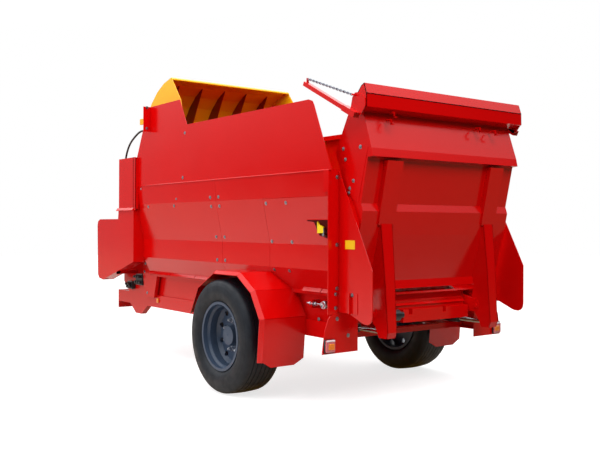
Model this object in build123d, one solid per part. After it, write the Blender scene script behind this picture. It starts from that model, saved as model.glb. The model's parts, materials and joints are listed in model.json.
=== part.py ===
from build123d import *
import math
import os

# Trailed straw chopper: a bed chain feeds bales to a toothed rotor, and a fan
# behind the front bulkhead blows the straw out through a chute on the right.
# Millimetres, +Z up, +Y towards the drawbar, X across. The axle is at Y = 0
# while the pieces are made, and everything is moved along Y at the end.

# Wheels and axle
TYRE_D = 1000.0
TYRE_W = 386.0
TYRE_WALL = 26.0
TREAD_W = 300.0
TRACK_X = 1030.0
RIM_D = 600.0
RIM_WALL = 10.0
RIM_DISC_X = -10.0
RIM_DISC_T = 14.0
HAND_HOLES = 10
HAND_HOLE_D = 46.0
HAND_HOLE_PCD = 440.0
HUB_D = 190.0
HUB_L = 150.0
STUB_D = 90.0
AXLE_SIZE = 100.0
RUN_GAP = 0.3

# Chassis
RAIL_X = 750.0
RAIL_H = 136.0
RAIL_FLANGE = 60.0
RAIL_T = 8.0
RAIL_FRONT = 3070.0
FRAME_REAR = -1220.0
CROSS_T = 80.0
CROSS_H = 110.0
CROSS_WALL = 6.0
CROSS_YS = (-320.0, 1300.0, 2330.0, 2700.0, 3030.0)
REAR_CROSS_Y = -1020.0
REAR_CROSS_H = 46.0
EYE_Y = 4100.0
EYE_Z = 520.0
EYE_R = 60.0
EYE_BORE_R = 25.0
EYE_T = 50.0
DRAWBAR_SIZE = 100.0
JACK_X = 300.0
JACK_TUBE = 80.0
JACK_LEG = 62.0
JACK_TOP = 1000.0
JACK_FOOT = 200.0

# Body sides: half widths against height, outer faces
SHEET = 6.0
FLOOR_Z = 900.0
FLOOR_LIP_Z = 935.0
BODY_FRONT = 2130.0
SEAM_Z = 1888.0
JOINT_Z = 1690.0
JOINT_1_Y = 467.0
JOINT_2_Y = -312.0
PANEL_GAP = 3.0
BODY_X = ((FLOOR_LIP_Z, 790.0), (1110.0, 877.0), (1310.0, 877.0), (JOINT_Z, 953.0), (SEAM_Z, 965.0))
SKIRT_X = 730.0
DECK_X = 700.0
UPPER_X = 965.0
UPPER_TOP = 2456.0
RAISED_TOP = 2720.0

# Rear frame and wings
POST_X = 972.0
POST_IN = 850.0
POST_T = 8.0
POST_BOTTOM = 782.0
WING_X = 873.0
LAMP_X = 970.0
LAMP_Z = 549.0
LAMP_SIZE = 100.0
LAMP_DEPTH = 34.0

# Front end
BULKHEAD_T = 8.0
FAN_R = 740.0
FAN_WALL = 5.0
FAN_FRONT = 2520.0
FAN_BOX_X = 1000.0
FAN_BOX_Z = 1628.0
FAN_BOX_TOP = 2207.0
FAN_INLET_R = 280.0
FAN_TIP_R = 650.0
FAN_DISC_R = 420.0
FAN_HUB_R = 90.0
FAN_SHAFT_R = 25.0
FAN_BLADES = 6
FAN_PLATE_T = 8.0
FAN_GAP = 14.0
FAN_SEAT = 60.0
BELT_T = 110.0
GUARD_X = 1000.0
GUARD_IN = 870.0
HOOD_X = 773.0
HOOD_R = 800.0
HOOD_Y = 1600.0
HOOD_Z = 2250.0
HOOD_LIP_DEG = 82.7
HOOD_STEP_DEG = 12.4
HOOD_FACETS = 6
FIN_XS = (-586.0, -293.0, 0.0, 293.0, 586.0)
FIN_T = 8.0
ROTOR_Y = 1700.0
ROTOR_Z = 1370.0
ROTOR_TUBE_R = 160.0
ROTOR_TIP_R = 330.0
ROTOR_WALL = 12.0
ROTOR_END = 93.0
SHAFT_END = 13.0
SHAFT_R = 30.0
BEARING_R = 70.0
BEARING_GAP = 12.0
CONCAVE_GAP = 60.0
CONCAVE_START_DEG = -136.6
CHUTE_OUT = 1110.0
CHUTE_WALL = 5.0
FLAP_L = 410.0
FLAP_DEG = 12.0
FLAP_RISE = 16.0
PTO_Z = 900.0
PTO_R = 17.5
PTO_FREE_L = 90.0
PTO_NECK_R = 15.0
PTO_NECK_L = 16.0
PTO_SEAT_R = 22.0
PTO_SEAT = 80.0
GEARBOX_L = 180.0
NOSE_L = 50.0
NOSE_R = 65.0

# Tailgate, its rams and the bale arms, as the gate stands shut
GATE_Y = -1370.0
GATE_Z = 780.0
GATE_X = 838.0
GATE_OPEN = 105.0
CAP_X = 895.0
ARM_X = 590.0
PIN_R = 20.0
PIN_GAP = 0.3
EYE_PIN_Y = -1455.0
EYE_PIN_Z = 645.0
RAM_BASE_Y = -400.0
RAM_BASE_Z = 655.0
BARREL_R = 36.0
BARREL_L = 700.0
ROD_R = 18.0
BALE_ARM_T = 44.0

# Bed chain
CHAIN_X = 600.0
CHAIN_H = 22.0
CHAIN_W = 34.0
SPROCKET_R = 66.0
CHAIN_REAR_Y = -1000.0
CHAIN_FRONT_Y = 1230.0
SLAT_PITCH = 340.0

# Fenders
FENDER_X = 1200.0
FENDER_T = 5.0
FENDER_RIM = 30.0

WING_REAR = -1617.0
SHIFT_Y = -(EYE_Y + EYE_R + WING_REAR) / 2

AXLE_Z = TYRE_D / 2
RAIL_Z = AXLE_Z + AXLE_SIZE / 2
RAIL_TOP = RAIL_Z + RAIL_H
FAN_REAR = BODY_FRONT + BULKHEAD_T
FAN_Z = RAIL_TOP + FAN_R


def block(x0, x1, y0, y1, z0, z1):
    size = Box(abs(x1 - x0), abs(y1 - y0), abs(z1 - z0))
    return Pos((x0 + x1) / 2, (y0 + y1) / 2, (z0 + z1) / 2) * size


def prism_x(points, x0, x1):
    face = make_face(Polyline(*[(x0, y, z) for y, z in points], close=True)).face()
    return Solid.extrude(face, Vector(x1 - x0, 0, 0))


def prism_y(points, y0, y1):
    face = make_face(Polyline(*[(x, y0, z) for x, z in points], close=True)).face()
    return Solid.extrude(face, Vector(0, y1 - y0, 0))


def round_bar(start, end, radius):
    path = Vector(*end) - Vector(*start)
    plane = Plane(origin=start, z_dir=path)
    return plane * Cylinder(radius, path.length, align=(Align.CENTER, Align.CENTER, Align.MIN))


def mirrored(shape):
    return mirror(shape, about=Plane.YZ)


def group(pieces):
    """One node of several solids that don't touch."""
    return Compound([solid for piece in pieces for solid in piece.solids()])


def both(*pieces):
    """The right-hand pieces with their mirror images."""
    return group([*pieces, *[mirrored(p) for p in pieces]])


def ring_x(y, z, outer, inner, x0, x1):
    ring = round_bar((x0, y, z), (x1, y, z), outer)
    return ring - round_bar((x0 - 1, y, z), (x1 + 1, y, z), inner)


def thick(points, wall):
    """Closed outline of a folded sheet: the points, and the same line set off by wall to its left."""
    moved = []
    for i, (a, b) in enumerate(points):
        before = points[max(i - 1, 0)]
        after = points[min(i + 1, len(points) - 1)]
        turns = []
        for p, q in ((before, (a, b)), ((a, b), after)):
            run = math.hypot(q[0] - p[0], q[1] - p[1])
            if run > 0:
                turns.append(((p[1] - q[1]) / run, (q[0] - p[0]) / run))
        nx = sum(n[0] for n in turns) / len(turns)
        ny = sum(n[1] for n in turns) / len(turns)
        grow = wall / (nx * nx + ny * ny)
        moved.append((a + nx * grow, b + ny * grow))
    return list(points) + moved[::-1]


def body_line(inset=0.0):
    """Half width and height down the body side, set in from the outer face."""
    outer = [(x, z) for z, x in BODY_X]
    if inset == 0:
        return outer
    return thick(outer, inset)[len(outer):][::-1]


def half_width(z):
    """Half the body's outer width at one height."""
    for (z0, x0), (z1, x1) in zip(BODY_X, BODY_X[1:]):
        if z <= z1:
            return x0 + (x1 - x0) * (z - z0) / (z1 - z0)
    return BODY_X[-1][1]


def body_inside(y0, y1, inset=SHEET):
    right = body_line(inset)
    return prism_y(right + [(-x, z) for x, z in right[::-1]], y0, y1)


# Wheels


def tyre(side):
    half = TYRE_W / 2
    tread = TREAD_W / 2
    bead = RIM_D / 2 - 14
    top = TYRE_D / 2
    wall = TYRE_WALL
    with BuildPart() as part:
        with BuildSketch(Plane.XY):
            with BuildLine():
                Polyline((-half + 44, bead + 16), (-half + 44, bead), (half - 44, bead), (half - 44, bead + 16))
                ThreePointArc((half - 44, bead + 16), (half, bead + 106), (half - 14, top - 46))
                ThreePointArc((half - 14, top - 46), (half - 22, top - 20), (tread, top - 8))
                Polyline((tread, top - 8), (tread - 40, top), (-tread + 40, top), (-tread, top - 8))
                ThreePointArc((-tread, top - 8), (-half + 22, top - 20), (-half + 14, top - 46))
                ThreePointArc((-half + 14, top - 46), (-half, bead + 106), (-half + 44, bead + 16))
            make_face()
            with BuildLine():
                Polyline((-half + 44 + wall, bead), (half - 44 - wall, bead))
                ThreePointArc((half - 44 - wall, bead), (half - wall, bead + 96), (half - 22 - wall, top - 40 - wall))
                Polyline((half - 22 - wall, top - 40 - wall), (-half + 22 + wall, top - 40 - wall))
                ThreePointArc((-half + 22 + wall, top - 40 - wall), (-half + wall, bead + 96), (-half + 44 + wall, bead))
            make_face(mode=Mode.SUBTRACT)
        revolve(axis=Axis.X)
    return Pos(side * TRACK_X, 0, AXLE_Z) * part.part


def rim(side):
    half = TYRE_W / 2
    bead = RIM_D / 2 - 14
    lip = half - 44
    base = bead - RIM_WALL
    wall = RIM_WALL
    outline = [
        (-lip - 12, bead + 14), (-lip, bead + 14), (-lip, bead), (lip, bead),
        (lip, bead + 14), (lip + 12, bead + 14), (lip + 12, base), (lip - 30, base),
        (lip - 50, base - 16), (RIM_DISC_X + RIM_DISC_T + 30, base - 16), (RIM_DISC_X + RIM_DISC_T, base - 46),
        (RIM_DISC_X + RIM_DISC_T, HUB_D / 2), (RIM_DISC_X + RIM_DISC_T + 70, HUB_D / 2 - 12),
        (RIM_DISC_X + RIM_DISC_T + 76, 0), (RIM_DISC_X + RIM_DISC_T + 56, 0),
        (RIM_DISC_X + RIM_DISC_T + 56, STUB_D / 2 + RUN_GAP), (RIM_DISC_X - HUB_L, STUB_D / 2 + RUN_GAP),
        (RIM_DISC_X - HUB_L, HUB_D / 2), (RIM_DISC_X, HUB_D / 2), (RIM_DISC_X, base - 20 - wall),
        (RIM_DISC_X - 20, base - wall), (-lip - 12, base),
    ]
    face = make_face(Polyline(*[(x, r, 0) for x, r in outline], close=True))
    wheel = revolve(face, axis=Axis.X)
    for i in range(HAND_HOLES):
        turn = math.radians(360 * (i + 0.5) / HAND_HOLES)
        y = HAND_HOLE_PCD / 2 * math.cos(turn)
        z = HAND_HOLE_PCD / 2 * math.sin(turn)
        wheel -= round_bar((RIM_DISC_X - 40, y, z), (RIM_DISC_X + 60, y, z), HAND_HOLE_D / 2)
    if side < 0:
        wheel = mirrored(wheel)
    return Pos(side * TRACK_X, 0, AXLE_Z) * wheel


def axle_beam():
    reach = TRACK_X + RIM_DISC_X + RIM_DISC_T + 40
    inner = TRACK_X + RIM_DISC_X - HUB_L - 12
    half = AXLE_SIZE / 2
    beam = block(-inner, inner, -half, half, AXLE_Z - half, AXLE_Z + half)
    return beam + round_bar((-reach, 0, AXLE_Z), (reach, 0, AXLE_Z), STUB_D / 2)


# Chassis


def chassis_rails():
    z0, z1 = RAIL_Z, RAIL_TOP
    flange = RAIL_X - RAIL_FLANGE
    web = RAIL_X - RAIL_T
    points = [
        (RAIL_X, z0), (RAIL_X, z1), (flange, z1), (flange, z1 - RAIL_T),
        (web, z1 - RAIL_T), (web, z0 + RAIL_T), (flange, z0 + RAIL_T), (flange, z0),
    ]
    rail = prism_y(points, FRAME_REAR, RAIL_FRONT)
    foot = [(2300, z0), (2750, z0), (2600, z0 - 105), (2450, z0 - 105)]
    rail += prism_x(foot, RAIL_X - RAIL_FLANGE, RAIL_X)
    return both(rail)


def cross_tube(y, height):
    """A rectangular tube between the rails' webs, open at its ends."""
    web = RAIL_X - RAIL_T
    z0 = RAIL_Z + RAIL_T
    y0, y1, wall = y - CROSS_T / 2, y + CROSS_T / 2, CROSS_WALL
    return block(-web, web, y0, y1, z0, z0 + height) - block(
        -web - 1, web + 1, y0 + wall, y1 - wall, z0 + wall, z0 + height - wall)


def cross_members():
    pieces = [cross_tube(y, CROSS_H) for y in CROSS_YS]
    pieces.append(cross_tube(REAR_CROSS_Y, REAR_CROSS_H))
    lug = CROSS_YS[0] - CROSS_T / 2
    for side in (-1, 1):
        for off in (-34, 34):
            x = side * ARM_X + off
            ear = block(x - 6, x + 6, RAM_BASE_Y - 30, lug, RAM_BASE_Z - 30, RAM_BASE_Z + 20)
            pieces[0] += ear
        pieces[0] += round_bar((side * ARM_X - 40, RAM_BASE_Y, RAM_BASE_Z),
                               (side * ARM_X + 40, RAM_BASE_Y, RAM_BASE_Z), PIN_R - 4)
    return group(pieces)


def drawbar():
    z0 = EYE_Z - DRAWBAR_SIZE / 2
    z1 = EYE_Z + DRAWBAR_SIZE / 2
    front = RAIL_FRONT
    bars = None
    for side in (-1, 1):
        points = [
            (side * (RAIL_X - 10), front), (side * (RAIL_X - 130), front),
            (side * 20, EYE_Y - 190), (side * 20, EYE_Y - 90), (side * 60, EYE_Y - 90),
        ]
        face = make_face(Polyline(*[(x, y, z0) for x, y in points], close=True))
        bar = Solid.extrude(face.face(), Vector(0, 0, z1 - z0))
        bars = bar if bars is None else bars + bar
    bars += block(-60, 60, EYE_Y - 190, EYE_Y - 90, z0, z1)
    bars += block(-RAIL_X, RAIL_X, front, front + 12, RAIL_Z - 80, RAIL_TOP)
    shank = block(-40, 40, EYE_Y - 92, EYE_Y - 40, EYE_Z - EYE_T / 2, EYE_Z + EYE_T / 2)
    ring = round_bar((0, EYE_Y, EYE_Z - EYE_T / 2), (0, EYE_Y, EYE_Z + EYE_T / 2), EYE_R)
    bore = round_bar((0, EYE_Y, EYE_Z - EYE_T), (0, EYE_Y, EYE_Z + EYE_T), EYE_BORE_R)
    return bars + shank + ring - bore


JACK_Y = CROSS_YS[3] + CROSS_T / 2 + JACK_TUBE / 2
JACK_Z0 = RAIL_Z - 90


def jack_sleeve():
    half = JACK_TUBE / 2
    inner = JACK_LEG / 2 + RUN_GAP
    tube = block(JACK_X - half, JACK_X + half, JACK_Y - half, JACK_Y + half, JACK_Z0, JACK_TOP)
    tube -= block(JACK_X - inner, JACK_X + inner, JACK_Y - inner, JACK_Y + inner, JACK_Z0 - 1, JACK_TOP - 10)
    tube += round_bar((JACK_X, JACK_Y, JACK_TOP), (JACK_X, JACK_Y, JACK_TOP + 40), 22)
    tube += round_bar((JACK_X, JACK_Y, JACK_TOP + 30), (JACK_X + 130, JACK_Y, JACK_TOP + 30), 8)
    return tube


def jack_leg():
    half = JACK_LEG / 2
    leg = block(JACK_X - half, JACK_X + half, JACK_Y - half, JACK_Y + half, 8, JACK_Z0 + 180)
    foot = JACK_FOOT / 2
    leg += block(JACK_X - foot, JACK_X + foot, JACK_Y - foot, JACK_Y + foot, 0, 10)
    return leg


# Load space


def floor_deck():
    end = CHAIN_FRONT_Y - SPROCKET_R
    deck = block(-DECK_X, DECK_X, FRAME_REAR, end, FLOOR_Z, FLOOR_Z + SHEET)
    slot = CHAIN_X + 40
    return deck - block(-slot, slot, CHAIN_REAR_Y - 95, CHAIN_REAR_Y + 32, FLOOR_Z - 1, FLOOR_Z + SHEET + 1)


def floor_edges():
    edge = BODY_X[0][1]
    angle = block(DECK_X, edge, FRAME_REAR, BODY_FRONT, FLOOR_Z, FLOOR_Z + SHEET)
    return both(angle + block(edge - SHEET, edge, FRAME_REAR, BODY_FRONT, FLOOR_Z, FLOOR_LIP_Z))


def skirts():
    return both(block(SKIRT_X - SHEET, SKIRT_X, -950, 1850, RAIL_TOP, FLOOR_Z))


def side_panels():
    whole = prism_y(thick(body_line(), SHEET), FRAME_REAR, BODY_FRONT)
    whole = whole & block(0, 2000, FRAME_REAR, BODY_FRONT, FLOOR_LIP_Z, SEAM_Z)
    g = PANEL_GAP / 2
    front = whole & block(0, 2000, JOINT_1_Y + g, BODY_FRONT, 0, 3000)
    rest = whole & block(0, 2000, FRAME_REAR, JOINT_1_Y - g, 0, 3000)
    corner = rest & block(0, 2000, FRAME_REAR, JOINT_2_Y - g, 0, JOINT_Z - g)
    middle = rest - block(0, 2000, FRAME_REAR - 1, JOINT_2_Y + g, 0, JOINT_Z + g)
    return both(front, corner, middle)


def side_posts():
    profile = thick(body_line(SHEET), SHEET)
    posts = [prism_y(profile, y - 35, y + 35) for y in (JOINT_1_Y, JOINT_2_Y)]
    keep = block(0, 2000, FRAME_REAR, BODY_FRONT, FLOOR_LIP_Z, SEAM_Z)
    return both(*[post & keep for post in posts])


def upper_sides():
    outline = [
        (BODY_FRONT, SEAM_Z), (BODY_FRONT, 2200), (1863, RAISED_TOP), (1155, RAISED_TOP),
        (1005, UPPER_TOP), (-966, UPPER_TOP), (-1012, 2440), (-1034, 2405), (-1255, SEAM_Z),
    ]
    sheet = prism_x(outline, UPPER_X - SHEET, UPPER_X)
    sheet += block(UPPER_X, 1047, 1800, 1800 + SHEET, UPPER_TOP, RAISED_TOP)
    return both(sheet)


def rear_posts():
    y1 = FRAME_REAR
    y0 = y1 - POST_T
    post = block(POST_IN, POST_X, y0, y1, POST_BOTTOM, SEAM_Z)
    post += block(POST_X - SHEET, POST_X, y0, y1 + 55, 1720, SEAM_Z)
    return both(post)


def wings():
    y = FRAME_REAR - POST_T
    outline = [
        (y, SEAM_Z), (WING_REAR, 1127), (WING_REAR, 790), (-1603, 752), (-1550, 730),
        (-1312, 820), (-1312, 898), (y, 898),
    ]
    return both(prism_x(outline, WING_X - SHEET, WING_X))


def lamp_brackets():
    y = FRAME_REAR - POST_T
    outline = [
        (678, 486), (1033, 486), (1024, 560), (1008, 660), (975, 750), (950, 776), (900, 792), (678, 792),
    ]
    return both(prism_y(outline, y - SHEET, y))


def lamps():
    y = FRAME_REAR - POST_T - SHEET
    half = LAMP_SIZE / 2
    tail = block(LAMP_X - half, LAMP_X + half, y - LAMP_DEPTH, y, LAMP_Z - half, LAMP_Z + half)
    marker = block(RAIL_X, RAIL_X + 18, 2005, 2075, 615, 647)
    return both(tail, marker)


def bed_chain():
    outer = SPROCKET_R + CHAIN_H
    top = FLOOR_Z + SHEET + CHAIN_H
    centre = top - outer
    rear, front = CHAIN_REAR_Y, CHAIN_FRONT_Y

    def loop(radius, x0, x1):
        bar = block(x0, x1, rear, front, centre - radius, centre + radius)
        bar += round_bar((x0, rear, centre), (x1, rear, centre), radius)
        return bar + round_bar((x0, front, centre), (x1, front, centre), radius)

    pieces = None
    for side in (-1, 1):
        x0 = side * CHAIN_X - CHAIN_W / 2
        band = loop(outer, x0, x0 + CHAIN_W) - loop(SPROCKET_R, x0 - 1, x0 + CHAIN_W + 1)
        pieces = band if pieces is None else pieces + band
    half = CHAIN_X - CHAIN_W / 2 + 1
    count = int((front - rear) / SLAT_PITCH) + 1
    for i in range(count):
        y = rear + i * SLAT_PITCH
        pieces += block(-half, half, y - 20, y + 20, top - CHAIN_H, top)
        pieces += block(-half, half, y + 130, y + 170, centre - outer, centre - outer + CHAIN_H)
    return pieces


def chain_shafts():
    centre = FLOOR_Z + SHEET - SPROCKET_R
    pieces = []
    for y in (CHAIN_REAR_Y, CHAIN_FRONT_Y):
        shaft = round_bar((-SKIRT_X + SHEET, y, centre), (SKIRT_X - SHEET, y, centre), 25)
        for side in (-1, 1):
            x = side * CHAIN_X
            shaft += round_bar((x - 8, y, centre), (x + 8, y, centre), SPROCKET_R - RUN_GAP)
        pieces.append(shaft)
    return group(pieces)


# Front end


def bulkhead():
    """The wall between the load space and the fan, with the fan's round eye."""
    right = [(RAIL_X, RAIL_TOP), (RAIL_X, FLOOR_Z)] + [(x, z) for z, x in BODY_X] + [(UPPER_X, FAN_BOX_TOP)]
    plate = prism_y(right + [(-x, z) for x, z in right[::-1]], BODY_FRONT, FAN_REAR)
    return plate - round_bar((0, BODY_FRONT - 1, FAN_Z), (0, FAN_REAR + 1, FAN_Z), FAN_INLET_R)


def concave():
    """The trough under the rotor, from the end of the bed to the lower edge of the fan's eye."""
    radius = ROTOR_TIP_R + CONCAVE_GAP
    lip = FAN_Z - FAN_INLET_R - 2 * SHEET
    last = math.degrees(math.asin((lip - ROTOR_Z) / radius))
    steps = 8
    points = [(CHAIN_FRONT_Y + SPROCKET_R + CHAIN_H + 10, FLOOR_Z)]
    for i in range(steps + 1):
        turn = math.radians(CONCAVE_START_DEG + (last - CONCAVE_START_DEG) * i / steps)
        points.append((ROTOR_Y + radius * math.cos(turn), ROTOR_Z + radius * math.sin(turn)))
    points.append((BODY_FRONT, lip))
    return prism_x(thick(points, -SHEET), -UPPER_X, UPPER_X) & body_inside(CHAIN_FRONT_Y, BODY_FRONT)


def drum_half():
    """Half the rotor's tube, which stops short of the side sheets at the shaft's height."""
    return half_width(ROTOR_Z) - SHEET - ROTOR_END


def rotor():
    half = drum_half()
    shaft = half_width(ROTOR_Z) - SHEET - SHAFT_END
    drum = ring_x(0, 0, ROTOR_TUBE_R, ROTOR_TUBE_R - ROTOR_WALL, -half, half)
    drum += round_bar((-shaft, 0, 0), (shaft, 0, 0), SHAFT_R)
    hole_at = (ROTOR_TUBE_R - ROTOR_WALL + SHAFT_R) / 2
    for x in (-half, half - ROTOR_WALL):
        disc = ring_x(0, 0, ROTOR_TUBE_R - 1, SHAFT_R - 1, x, x + ROTOR_WALL)
        for i in range(4):
            hole = round_bar((x - 1, 0, hole_at), (x + ROTOR_WALL + 1, 0, hole_at), ROTOR_WALL * 2)
            disc -= Rot(90 * i, 0, 0) * hole
        drum += disc
    rings = 9
    for i in range(rings):
        x = -half + 60 + i * (2 * half - 120) / (rings - 1)
        for j in range(4):
            turn = Rot(90 * j + 22.5 * (i % 4), 0, 0)
            tooth = prism_x([(-45, ROTOR_TUBE_R - 10), (60, ROTOR_TUBE_R - 10), (30, ROTOR_TIP_R), (-5, ROTOR_TIP_R)],
                            x - 6, x + 6)
            drum += turn * tooth
    return Pos(0, ROTOR_Y, ROTOR_Z) * drum


def rotor_bearings():
    ring = ring_x(ROTOR_Y, ROTOR_Z, BEARING_R, SHAFT_R + RUN_GAP, drum_half() + BEARING_GAP, UPPER_X)
    return both(ring & body_inside(ROTOR_Y - BEARING_R - 1, ROTOR_Y + BEARING_R + 1))


def fan_block(inset, y0, y1):
    """The fan housing's form, a round scroll under a wide box, set in from its outer face."""
    radius = FAN_R - inset
    shoulder = FAN_BOX_Z + inset
    flat = math.sqrt(radius ** 2 - (shoulder - FAN_Z) ** 2)
    wide, top = FAN_BOX_X - inset, FAN_BOX_TOP - inset
    box = Polyline(*[(x, y0, z) for x, z in (
        (-flat, shoulder), (-wide, shoulder), (-wide, top), (wide, top), (wide, shoulder), (flat, shoulder))])
    scroll = ThreePointArc((flat, y0, shoulder), (0, y0, FAN_Z - radius), (-flat, y0, shoulder))
    face = make_face([*box.edges(), scroll]).face()
    return Solid.extrude(face, Vector(0, y1 - y0, 0))


def fan_housing():
    """A sheet housing, open at the bulkhead and at the chute."""
    y0, y1, z0, z1 = CHUTE
    wall = CHUTE_WALL
    shell = fan_block(0, FAN_REAR, FAN_FRONT) - fan_block(FAN_WALL, FAN_REAR - 1, FAN_FRONT - FAN_WALL)
    shell -= block(FAN_BOX_X - FAN_WALL - 1, FAN_BOX_X + 1, y0 + wall, y1 - wall, z0 + wall, z1 - wall)
    return shell - round_bar((0, FAN_FRONT - 2 * FAN_WALL, FAN_Z), (0, FAN_FRONT + 1, FAN_Z), FAN_SHAFT_R + RUN_GAP)


def fan_impeller():
    """A backed wheel of flat blades, whose shaft runs in the belt cover."""
    rear = FAN_REAR + FAN_GAP
    front = FAN_FRONT - FAN_WALL - FAN_GAP
    back = front - FAN_PLATE_T
    hub = (rear + front) / 2
    wheel = round_bar((0, back, 0), (0, front, 0), FAN_DISC_R)
    wheel += round_bar((0, hub, 0), (0, front, 0), FAN_HUB_R)
    wheel += round_bar((0, front, 0), (0, FAN_FRONT + FAN_SEAT - RUN_GAP, 0), FAN_SHAFT_R)
    outline = [
        (FAN_HUB_R - 4, back + 2), (FAN_TIP_R, back + 2), (FAN_TIP_R, rear), (FAN_INLET_R + 20, rear),
        (FAN_HUB_R - 4, hub + 10),
    ]
    face = make_face(Polyline(*[(x, y, -FAN_PLATE_T / 2) for x, y in outline], close=True)).face()
    blade = Solid.extrude(face, Vector(0, 0, FAN_PLATE_T))
    for i in range(FAN_BLADES):
        wheel += Rot(0, 360 * i / FAN_BLADES, 0) * blade
    return Pos(0, 0, FAN_Z) * wheel


def drive_guards():
    rear = FAN_REAR
    outline = [
        (rear, FAN_BOX_Z), (FAN_FRONT + 10, FAN_BOX_Z), (FAN_FRONT + 23, 1531), (3056, 1531),
        (3110, 1508), (3131, 1462), (3110, 877), (3075, 836), (2960, 819), (rear, 1059),
    ]
    box = prism_x(outline, GUARD_IN, GUARD_X)
    cavity = make_face(Polyline(*[(GUARD_IN - 1, y, z) for y, z in outline], close=True))
    cavity = offset(cavity, amount=-SHEET)
    box -= Solid.extrude(cavity.face(), Vector(GUARD_X - SHEET - GUARD_IN + 1, 0, 0))
    box -= block(900, GUARD_X - SHEET, 2890, 2950, 800, 850)
    return both(box)


def guard_brackets():
    pieces = []
    for side in (-1, 1):
        foot = block(side * 700, side * (GUARD_X - SHEET), 2900, 2940, RAIL_TOP, RAIL_TOP + 40)
        stay = block(side * 946, side * (GUARD_X - SHEET), 2900, 2940, RAIL_TOP, 1400)
        pieces.append(foot + stay)
    return group(pieces)


def hood_points(radius):
    points = []
    for i in range(HOOD_FACETS + 1):
        turn = math.radians(HOOD_LIP_DEG - i * HOOD_STEP_DEG)
        points.append((HOOD_Y + radius * math.cos(turn), HOOD_Z + radius * math.sin(turn)))
    points.append((points[-1][0], FAN_BOX_TOP))
    return points


def hood_shell():
    outer = hood_points(HOOD_R)
    shell = prism_x(thick(outer, -SHEET), -HOOD_X, HOOD_X)
    wall = outer + [(1450, FAN_BOX_TOP), (1450, 2650), (1486, 2776)]
    for side in (-1, 1):
        shell += prism_x(wall, side * (HOOD_X - SHEET), side * HOOD_X)
    return shell


def hood_fins():
    outer = hood_points(HOOD_R)
    inside = thick(outer, -SHEET)[len(outer):][::-1][1:]
    pieces = []
    inner = [(HOOD_Y + (HOOD_R - 190) * math.cos(math.radians(d)),
              HOOD_Z + (HOOD_R - 190) * math.sin(math.radians(d))) for d in (8, 33)]
    outline = inside[:-1] + [(inside[-1][0], inside[-1][1]), (inner[0][0], FAN_BOX_TOP)] + inner
    for x in FIN_XS:
        pieces.append(prism_x(outline, x - FIN_T / 2, x + FIN_T / 2))
    return group(pieces)


def hood_mounts():
    pieces = []
    for side in (-1, 1):
        for y in (1560, 2020):
            pieces.append(block(side * HOOD_X, side * (UPPER_X - SHEET), y - 30, y + 30, 2300, 2340))
    return group(pieces)


CHUTE = (2180.0, 2480.0, 1720.0, 2150.0)  # Y from, Y to, Z from, Z to


def chute():
    y0, y1, z0, z1 = CHUTE
    w = CHUTE_WALL
    duct = block(FAN_BOX_X, CHUTE_OUT, y0, y1, z0, z1)
    duct -= block(FAN_BOX_X - 1, CHUTE_OUT + 1, y0 + w, y1 - w, z0 + w, z1 - w)
    pin_z = z1 + FLAP_RISE
    for y in (y0 - 14, y1 + 4):
        duct += block(CHUTE_OUT - 30, CHUTE_OUT, y, y + 10, z1 - 20, pin_z + 10)
    duct += block(CHUTE_OUT - 30, CHUTE_OUT - 22, y0 - 14, y1 + 14, z1 - 1, pin_z + 6)
    return duct + round_bar((CHUTE_OUT - 8, y0 - 14, pin_z), (CHUTE_OUT - 8, y1 + 14, pin_z), 5)


def chute_flap():
    y0, y1, z0, z1 = CHUTE
    px, pz = CHUTE_OUT - 8, z1 + FLAP_RISE
    turn = Rot(0, -FLAP_DEG, 0)
    plate = block(15, 15 + CHUTE_WALL, y0, y1, -FLAP_L, 4)
    barrel = round_bar((0, y0, 0), (0, y1, 0), 9) - round_bar((0, y0 - 1, 0), (0, y1 + 1, 0), 5 + PIN_GAP)
    plate += block(7, 16, y0, y1, -4, 4) + barrel
    return Pos(px, 0, pz) * turn * plate


def belt_cover():
    z0, z1 = PTO_Z, FAN_Z
    cover = block(-150, 150, FAN_FRONT, FAN_FRONT + BELT_T, z0, z1)
    cover += round_bar((0, FAN_FRONT, z1), (0, FAN_FRONT + BELT_T, z1), 150)
    cover += round_bar((0, FAN_FRONT, z0), (0, FAN_FRONT + BELT_T, z0), 150)
    return cover - round_bar((0, FAN_FRONT - 1, z1), (0, FAN_FRONT + FAN_SEAT, z1), FAN_SHAFT_R + RUN_GAP)


def gearbox():
    y0 = FAN_FRONT + BELT_T
    nose = y0 + GEARBOX_L
    case = block(-120, 120, y0, nose, PTO_Z - 110, PTO_Z + 110)
    case += round_bar((0, nose, PTO_Z), (0, nose + NOSE_L, PTO_Z), NOSE_R)
    return case - round_bar((0, nose + NOSE_L - PTO_SEAT, PTO_Z), (0, nose + NOSE_L + 1, PTO_Z), PTO_SEAT_R + RUN_GAP)


def pto_shaft():
    """The shaft's seat in the gearbox nose, a neck, and the free end that takes a tractor's drive."""
    face = FAN_FRONT + BELT_T + GEARBOX_L + NOSE_L
    neck = face + PTO_NECK_L
    shaft = round_bar((0, face - PTO_SEAT + RUN_GAP, PTO_Z), (0, face, PTO_Z), PTO_SEAT_R)
    shaft += round_bar((0, face - 1, PTO_Z), (0, neck + 1, PTO_Z), PTO_NECK_R)
    return shaft + round_bar((0, neck, PTO_Z), (0, neck + PTO_FREE_L, PTO_Z), PTO_R)


# Fenders


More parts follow.
